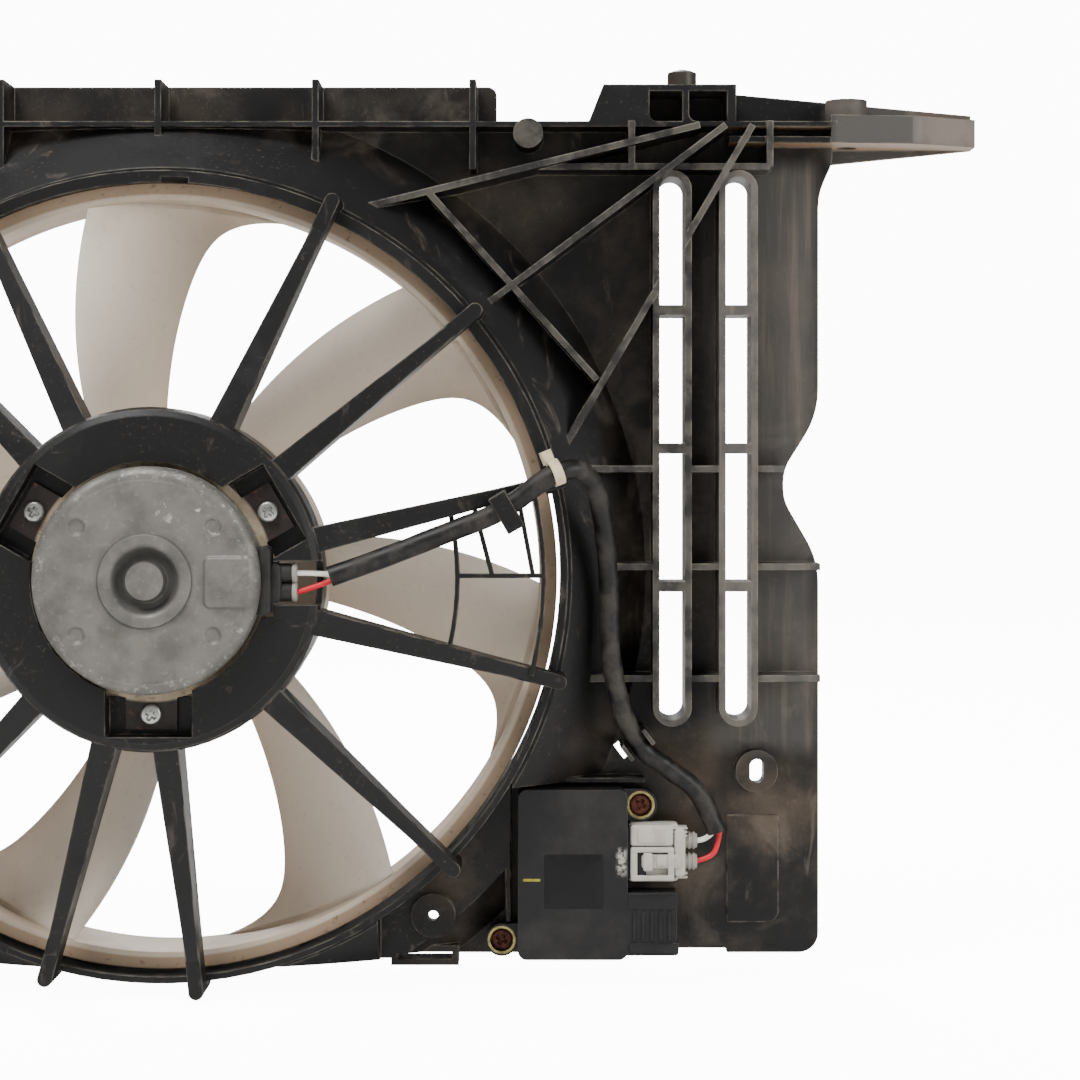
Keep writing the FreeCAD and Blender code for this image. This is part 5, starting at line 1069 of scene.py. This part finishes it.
@dataclass
class Harness:
    """The lead from the motor to the controller: cap, tubes, wires, sleeve and its tape."""

    # The sleeve's route, as (X, depth, Z) of its control points, the same as the solid's.
    route: tuple = ((76.8, 94.0, 1.1), (102.0, 92.0, 10.0), (131.0, 87.5, 21.5), (152.0, 85.5, 29.5),
                    (173.5, 89.0, 47.0), (188.5, 81.0, 47.5), (196.0, 60.0, 21.0), (197.6, 52.5, -12.0),
                    (198.8, 51.0, -47.0), (209.5, 44.5, -76.5), (225.5, 43.0, -88.0),
                    (240.5, 40.0, -98.5), (246.3, 39.5, -116.0))
    sleeve_reach: float = 4.4
    wire_reach: float = 1.2
    # Height, and run per radian, of the slow and the fine waves along the sleeve.
    waves: tuple = ((0.10, 7.3), (0.07, 3.1))
    tape_pitch: float = 13.0
    tape_step: float = 0.3
    taped_from: float = 128.0
    # In metres, the length of the route's line.
    cord_length: float = 0.3133
    # Where the two wires leave the motor: their depth, and the Z of the white and the red one.
    wire_depth: float = 95.0
    wire_levels: tuple[float, float] = (2.9, -5.3)
    white_ends: tuple = (((62.9, 95.0, 2.9), (70.0, 95.0, 2.9), (76.9, 94.2, 2.3)),
                         ((236.9, 39.5, -119.7), (241.2, 39.5, -119.9), (244.4, 39.6, -116.2)))
    red_ends: tuple = (((62.9, 95.0, -5.3), (69.5, 94.8, -3.6), (77.6, 94.1, -0.4)),
                       ((236.9, 39.5, -129.0), (242.8, 39.6, -127.8), (246.8, 39.6, -123.4),
                        (247.7, 39.5, -115.2)))

    def build_sleeve(self, workshop: Workshop) -> None:
        """Its radius adds slow waves along it and round it, and from the tie onwards the steps of a tape
        that is wound round it: a saw-tooth of the distance along over the tape's pitch plus the share of
        a turn.
        """
        path = nurbs_path(self.route, 22)
        gap = np.linalg.norm(np.diff(path, axis=0), axis=1)
        along = np.concatenate([[0], np.cumsum(gap)])[:, None]
        turn = np.linspace(0, 2 * math.pi, 32, endpoint=False)[None]
        taped = smooth_step(along, self.taped_from - 3, self.taped_from + 3)
        (slow, slow_run), (fine, fine_run) = self.waves
        wave = slow * np.sin(along / slow_run + 1.5 * np.cos(turn))
        wave = wave + fine * np.sin(along / fine_run + 2 * turn)
        saw = np.mod(along / self.tape_pitch + turn / (2 * math.pi), 1)
        radius = self.sleeve_reach + wave * (0.6 + 0.6 * taped) + taped * self.tape_step * (saw - 0.6)
        form = Form()
        form.tube(path, radius)
        sleeve = workshop.piece("harness_sleeve_tube", form, SLEEVE_VINYL,
                                ("harness_sleeve",), sharp=60.0)

    def build_wires(self, workshop: Workshop) -> None:
        """Makes the four bare ends of the two wires."""
        for name, node, ends, finish in (
                ("white_wire_ends", "wire_white", self.white_ends, WHITE_WIRE),
                ("red_wire_ends", "wire_red", self.red_ends, RED_WIRE)):
            form = Form()
            for end in ends:
                path = nurbs_path(end, 14)
                form.tube(path, np.full((len(path), 16), self.wire_reach))
            workshop.piece(name, form, finish, (node,), sharp=60.0)

    def build_cap(self, workshop: Workshop) -> None:
        """Makes the cap on the motor: stepped flange, body and two tubes with rolled ends."""
        cap, seals = Form(), Form()
        # The flange against the can, the lip on it and the body of the two tubes.
        cap.slabs(((44.6, 48.6), (91.2, 103.8), (-14.6, 14.2), 1.6, 0.6),
                  ((47.2, 52.4), (90.9, 104.2), (-15.0, 14.6), 2.2, 0.9),
                  ((50.0, 56.5), (89.8, 100.2), (-9.8, 7.4), 3.0, 1.2))
        for level in self.wire_levels:
            cap.lying([(51, 3.6), (54, 4.1), (60.4, 4.1), (61.2, 3.8), (61.2, 1.3)], self.wire_depth, level)
            seals.lying([(60.9, 3.7), (61.2, 4.3), (62.3, 4.4), (63.0, 3.9), (63.1, 1.4), (62.4, 1.3)],
                        self.wire_depth, level)
        workshop.piece("motor_lead_cap", cap, GROMMET_RUBBER, ("motor_lead_grommet",))
        workshop.piece("motor_lead_seals", seals, SEAL_RUBBER)

    def build(self, workshop: Workshop) -> None:
        """Makes all of the lead."""
        self.build_sleeve(workshop)
        self.build_wires(workshop)
        self.build_cap(workshop)


@dataclass
class ControllerPlug:
    """The light grey two-way plug: stepped housing, frame round the latch, lock and ribbed seals."""

    left: float = 206.5
    right: float = 229.0
    rear: float = 33.0
    front: float = 46.0
    middle: float = 39.5
    rib: float = 0.9
    # Z of the white and the red wire.
    wire_levels: tuple[float, float] = (-119.7, -129.0)

    def build(self, workshop: Workshop) -> None:
        """Makes the housing, the lock in its window and the two seals."""
        front, rear, step = self.front, self.rear, self.left + 0.8
        form = Form()
        # The body, the raised back over the wires and the panel on it.
        form.slabs(((self.left, self.right), (rear, front - 3.5), (-137.6, -111.8), 1.6, 0.6),
                   ((step, 226.4), (front - 6, front - 0.4), (-121.4, -112.0), 1.4, 0.7),
                   ((210.5, 223.0), (front - 2, front), (-120.2, -113.4), 1.0, 0.4))
        # The frame round the latch: two bars across, and two upright ones that stand a little lower.
        for z in ((-124.4, -121.9), (-137.2, -134.6)):
            form.slab((step, 226.9), (front - 6, front), z, 1.0, 0.6)
        for x in ((step, 210.4), (224.2, 226.9)):
            form.slab(x, (front - 6, front - 0.25), (-136.4, -122.7), 0.3, 0.2)
        # Ribs at the wire end, and the collar that they stand on.
        for left, low in ((224.6, -117.6), (224.6, -115.9), (224.6, -114.2), (227.4, -136.2),
                          (227.4, -134.4)):
            form.slab((left, 233.0), (rear + 2.2, front - 2.2), (low, low + self.rib), 0.4, 0.25)
        form.slab((227.0, 232.0), (rear + 1.4, front - 1.4), (-135.4, -113.9), 1.8, 0.8)
        workshop.piece("plug_shell", form, PLUG_PLASTIC, ("plug_housing",))
        form = Form()
        form.slabs(((212.4, 230.2), (front - 2.8, front - 0.6), (-131.6, -125.2), 1.2, 0.6),
                   ((213.0, 217.2), (front - 1.4, front + 0.9), (-132.6, -124.4), 1.0, 0.6),
                   ((219.0, 223.4), (front - 1.4, front + 0.2), (-130.4, -126.2), 0.8, 0.4))
        workshop.piece("plug_latch", form, PLUG_PLASTIC, ("plug_lock",))
        form = Form()
        for level in self.wire_levels:
            ribs = [(230.6, 3.4)]
            for start in (231.2, 233.2, 235.2):
                ribs += [(start, 3.4), (start + 0.35, 3.95), (start + 1.0, 3.95), (start + 1.35, 3.4)]
            form.lying([*ribs, (237.4, 3.1), (237.6, 1.4), (236.8, 1.3)], self.middle, level)
        workshop.piece("wire_seals", form, SEAL_RUBBER, ("plug_seals",))


@dataclass
class ControllerFace:
    """What lies on the controller's front: the bare label place, a paint dash and socket ribs."""

    front: float = 48.0
    ribs: int = 5
    first_rib: float = 208.2
    rib_pitch: float = 3.9

    def build(self, workshop: Workshop) -> None:
        """Makes the film, the dash and the ribs and rim of the supply socket."""
        front = self.front
        film, dash, socket = Form(), Form(), Form()
        film.slab((168.8, 195.2), (front - 0.3, front + 0.12), (-149.0, -124.8), 0.8, 0.06)
        dash.slab((159.2, 167.0), (front - 0.3, front + 0.08), (-136.9, -135.7), 0.5, 0.03)
        for number in range(self.ribs):
            left = self.first_rib + self.rib_pitch * number
            socket.slab((left, left + 1.5), (front - 1.0, front + 0.8), (-163.4, -150.2), 0.5, 0.35)
        # The ledge below the ribs, the one above them and the corner post.
        socket.slabs(((206.6, 228.6), (front - 1.2, front + 0.7), (-168.6, -164.4), 1.0, 0.4),
                     ((206.2, 228.4), (front - 1.2, front + 0.35), (-149.6, -142.3), 1.2, 0.4),
                     ((226.2, 228.8), (34.5, front + 0.6), (-169.6, -164.0), 0.8, 0.4))
        for name, form, finish in (("bare_label_film", film, LABEL_FILM), ("paint_dash", dash, PAINT_YELLOW),
                                   ("socket_ribs", socket, CASE_PLASTIC)):
            workshop.piece(name, form, finish)


@dataclass
class Studio:
    """The white sweep behind the part, its soft lights and the camera of the reference view."""

    camera_x: float = 166.85
    camera_distance: float = 1160.0
    camera_z: float = 47.0
    lens: float = 83.0
    rise: float = -0.065
    floor_gap: float = 1.5
    sweep_depth: float = 4200.0
    sweep_front: float = 4200.0
    sweep_side: float = 4200.0
    sweep_radius: float = 900.0
    sweep_high: float = 4000.0
    # The paper is lit as a photographer lights a white ground, far over the part itself.
    paper_glow: float = 12.0
    surround: float = 0.32
    # Name, place, size and power in watts of each panel, and the point that all are aimed at. These
    # places are plain X, Y and Z.
    panels: tuple = (("key_panel", (-600, -1000, 1700), 1000, 62),
                     ("fill_panel", (1700, -1100, 500), 900, 26),
                     ("back_panel", (-300, 1500, 1500), 1200, 60))
    aim: tuple = (60, -50, 30)

    def build(self) -> None:
        """Makes the sweep, the lights and the camera."""
        self.build_camera()
        self.build_sweep()
        self.build_lights()

    def build_sweep(self) -> None:
        """A floor that curves up into a back wall: a profile in Y and Z drawn out along X."""
        floor = CAD_BOX[0].z / MM - self.floor_gap
        turn = np.linspace(0, math.pi / 2, 17)
        arc_y = self.sweep_depth - self.sweep_radius + self.sweep_radius * np.sin(turn)
        arc_z = floor + self.sweep_radius * (1 - np.cos(turn))
        profile_y = np.concatenate([[-self.sweep_front], arc_y, [self.sweep_depth]])
        profile_z = np.concatenate([[floor], arc_z, [floor + self.sweep_high]])
        side = np.array([-self.sweep_side, self.sweep_side])
        points = np.stack(np.broadcast_arrays(side[:, None], profile_y[None], profile_z[None]), axis=-1)
        count = len(profile_y)
        index = np.arange(count - 1)
        faces = np.stack([index, index + 1, index + 1 + count, index + count], axis=-1)
        mesh = bpy.data.meshes.new("studio_sweep")
        mesh.from_pydata((points.reshape(-1, 3) * MM).tolist(), [], faces.tolist())
        mesh.shade_smooth()
        mesh.materials.append(self.paper())
        put("studio_sweep", mesh)

    def paper(self) -> bpy.types.Material:
        """White paper that the eye sees lit to white, while the part gets only its soft bounce."""
        paper = bpy.data.materials.new("studio_paper")
        paper.use_nodes = True
        tree = paper.node_tree
        shader = tree.nodes["Principled BSDF"]
        shader.inputs["Base Color"].default_value = linear("#f6f6f5")
        shader.inputs["Roughness"].default_value = 0.9
        shader.inputs["Emission Color"].default_value = linear("#ffffff")
        seen = add_node(tree, "ShaderNodeLightPath").outputs["Is Camera Ray"]
        tree.links.new(product(tree, seen, self.paper_glow), shader.inputs["Emission Strength"])
        return paper

    def build_lights(self) -> None:
        """A white surround and three soft panels."""
        world = bpy.data.worlds.new("studio_surround")
        bpy.context.scene.world = world
        world.use_nodes = True
        tree = world.node_tree
        background = tree.nodes["Background"]
        background.inputs["Color"].default_value = linear("#ffffff")
        seen = add_node(tree, "ShaderNodeLightPath").outputs["Is Camera Ray"]
        strength = add_node(tree, "ShaderNodeMapRange",
                            {"Value": seen, "To Min": self.surround, "To Max": self.paper_glow})
        tree.links.new(strength.outputs[0], background.inputs["Strength"])
        for name, place, size, power in self.panels:
            lamp = bpy.data.lights.new(name, "AREA")
            lamp.size = size * MM
            lamp.energy = power
            holder = put(name, lamp)
            spot = Vector(place) * MM
            holder.location = spot
            holder.rotation_euler = (Vector(self.aim) * MM - spot).to_track_quat("-Z", "Y").to_euler()

    def build_camera(self) -> None:
        """The camera level on the part, with its frame shifted as the reference view is cropped."""
        lens = bpy.data.cameras.new("reference_camera")
        lens.lens = self.lens
        lens.sensor_width = 36.0
        lens.shift_y = self.rise
        lens.clip_start = 0.05
        lens.clip_end = 50.0
        camera = put("reference_camera", lens)
        camera.location = (self.camera_x * MM, -self.camera_distance * MM, self.camera_z * MM)
        camera.rotation_euler = (math.pi / 2, 0, 0)
        bpy.context.scene.camera = camera


EAR_CIRCLE = 58
EAR_ANGLES = np.radians((-90, 30, 150))
MOTOR_SCREWS = CrossScrews("motor_screw_heads", "motor_screws", BRIGHT_STEEL,
                           tuple((EAR_CIRCLE * math.cos(angle), EAR_CIRCLE * math.sin(angle))
                                 for angle in EAR_ANGLES),
                           seat=90.5, high=3.0, reach=4.5, shank=2.45, long=8.5)
CASE_SCREWS = CrossScrews("controller_screw_heads", "controller_screws", RUSTED_STEEL,
                          ((212.2, -104.2), (149.6, -165.0)), seat=33.0, high=2.6, reach=4.8, shank=2.8,
                          long=8.0)


def main() -> None:
    """Builds the studio and the lead, then the other pieces, and dresses every node of the model."""
    logging.basicConfig(level=logging.INFO, format="%(name)s: %(message)s")
    Studio().build()
    workshop = Workshop()
    for assembly in (Harness(), RingFan(), MotorCan(), MOTOR_SCREWS, CASE_SCREWS, ControllerPlug(),
                     ControllerFace()):
        assembly.build(workshop)
    for name in NODE_FINISH:
        workshop.dress_node(name)


if __name__ == "__main__":
    main()
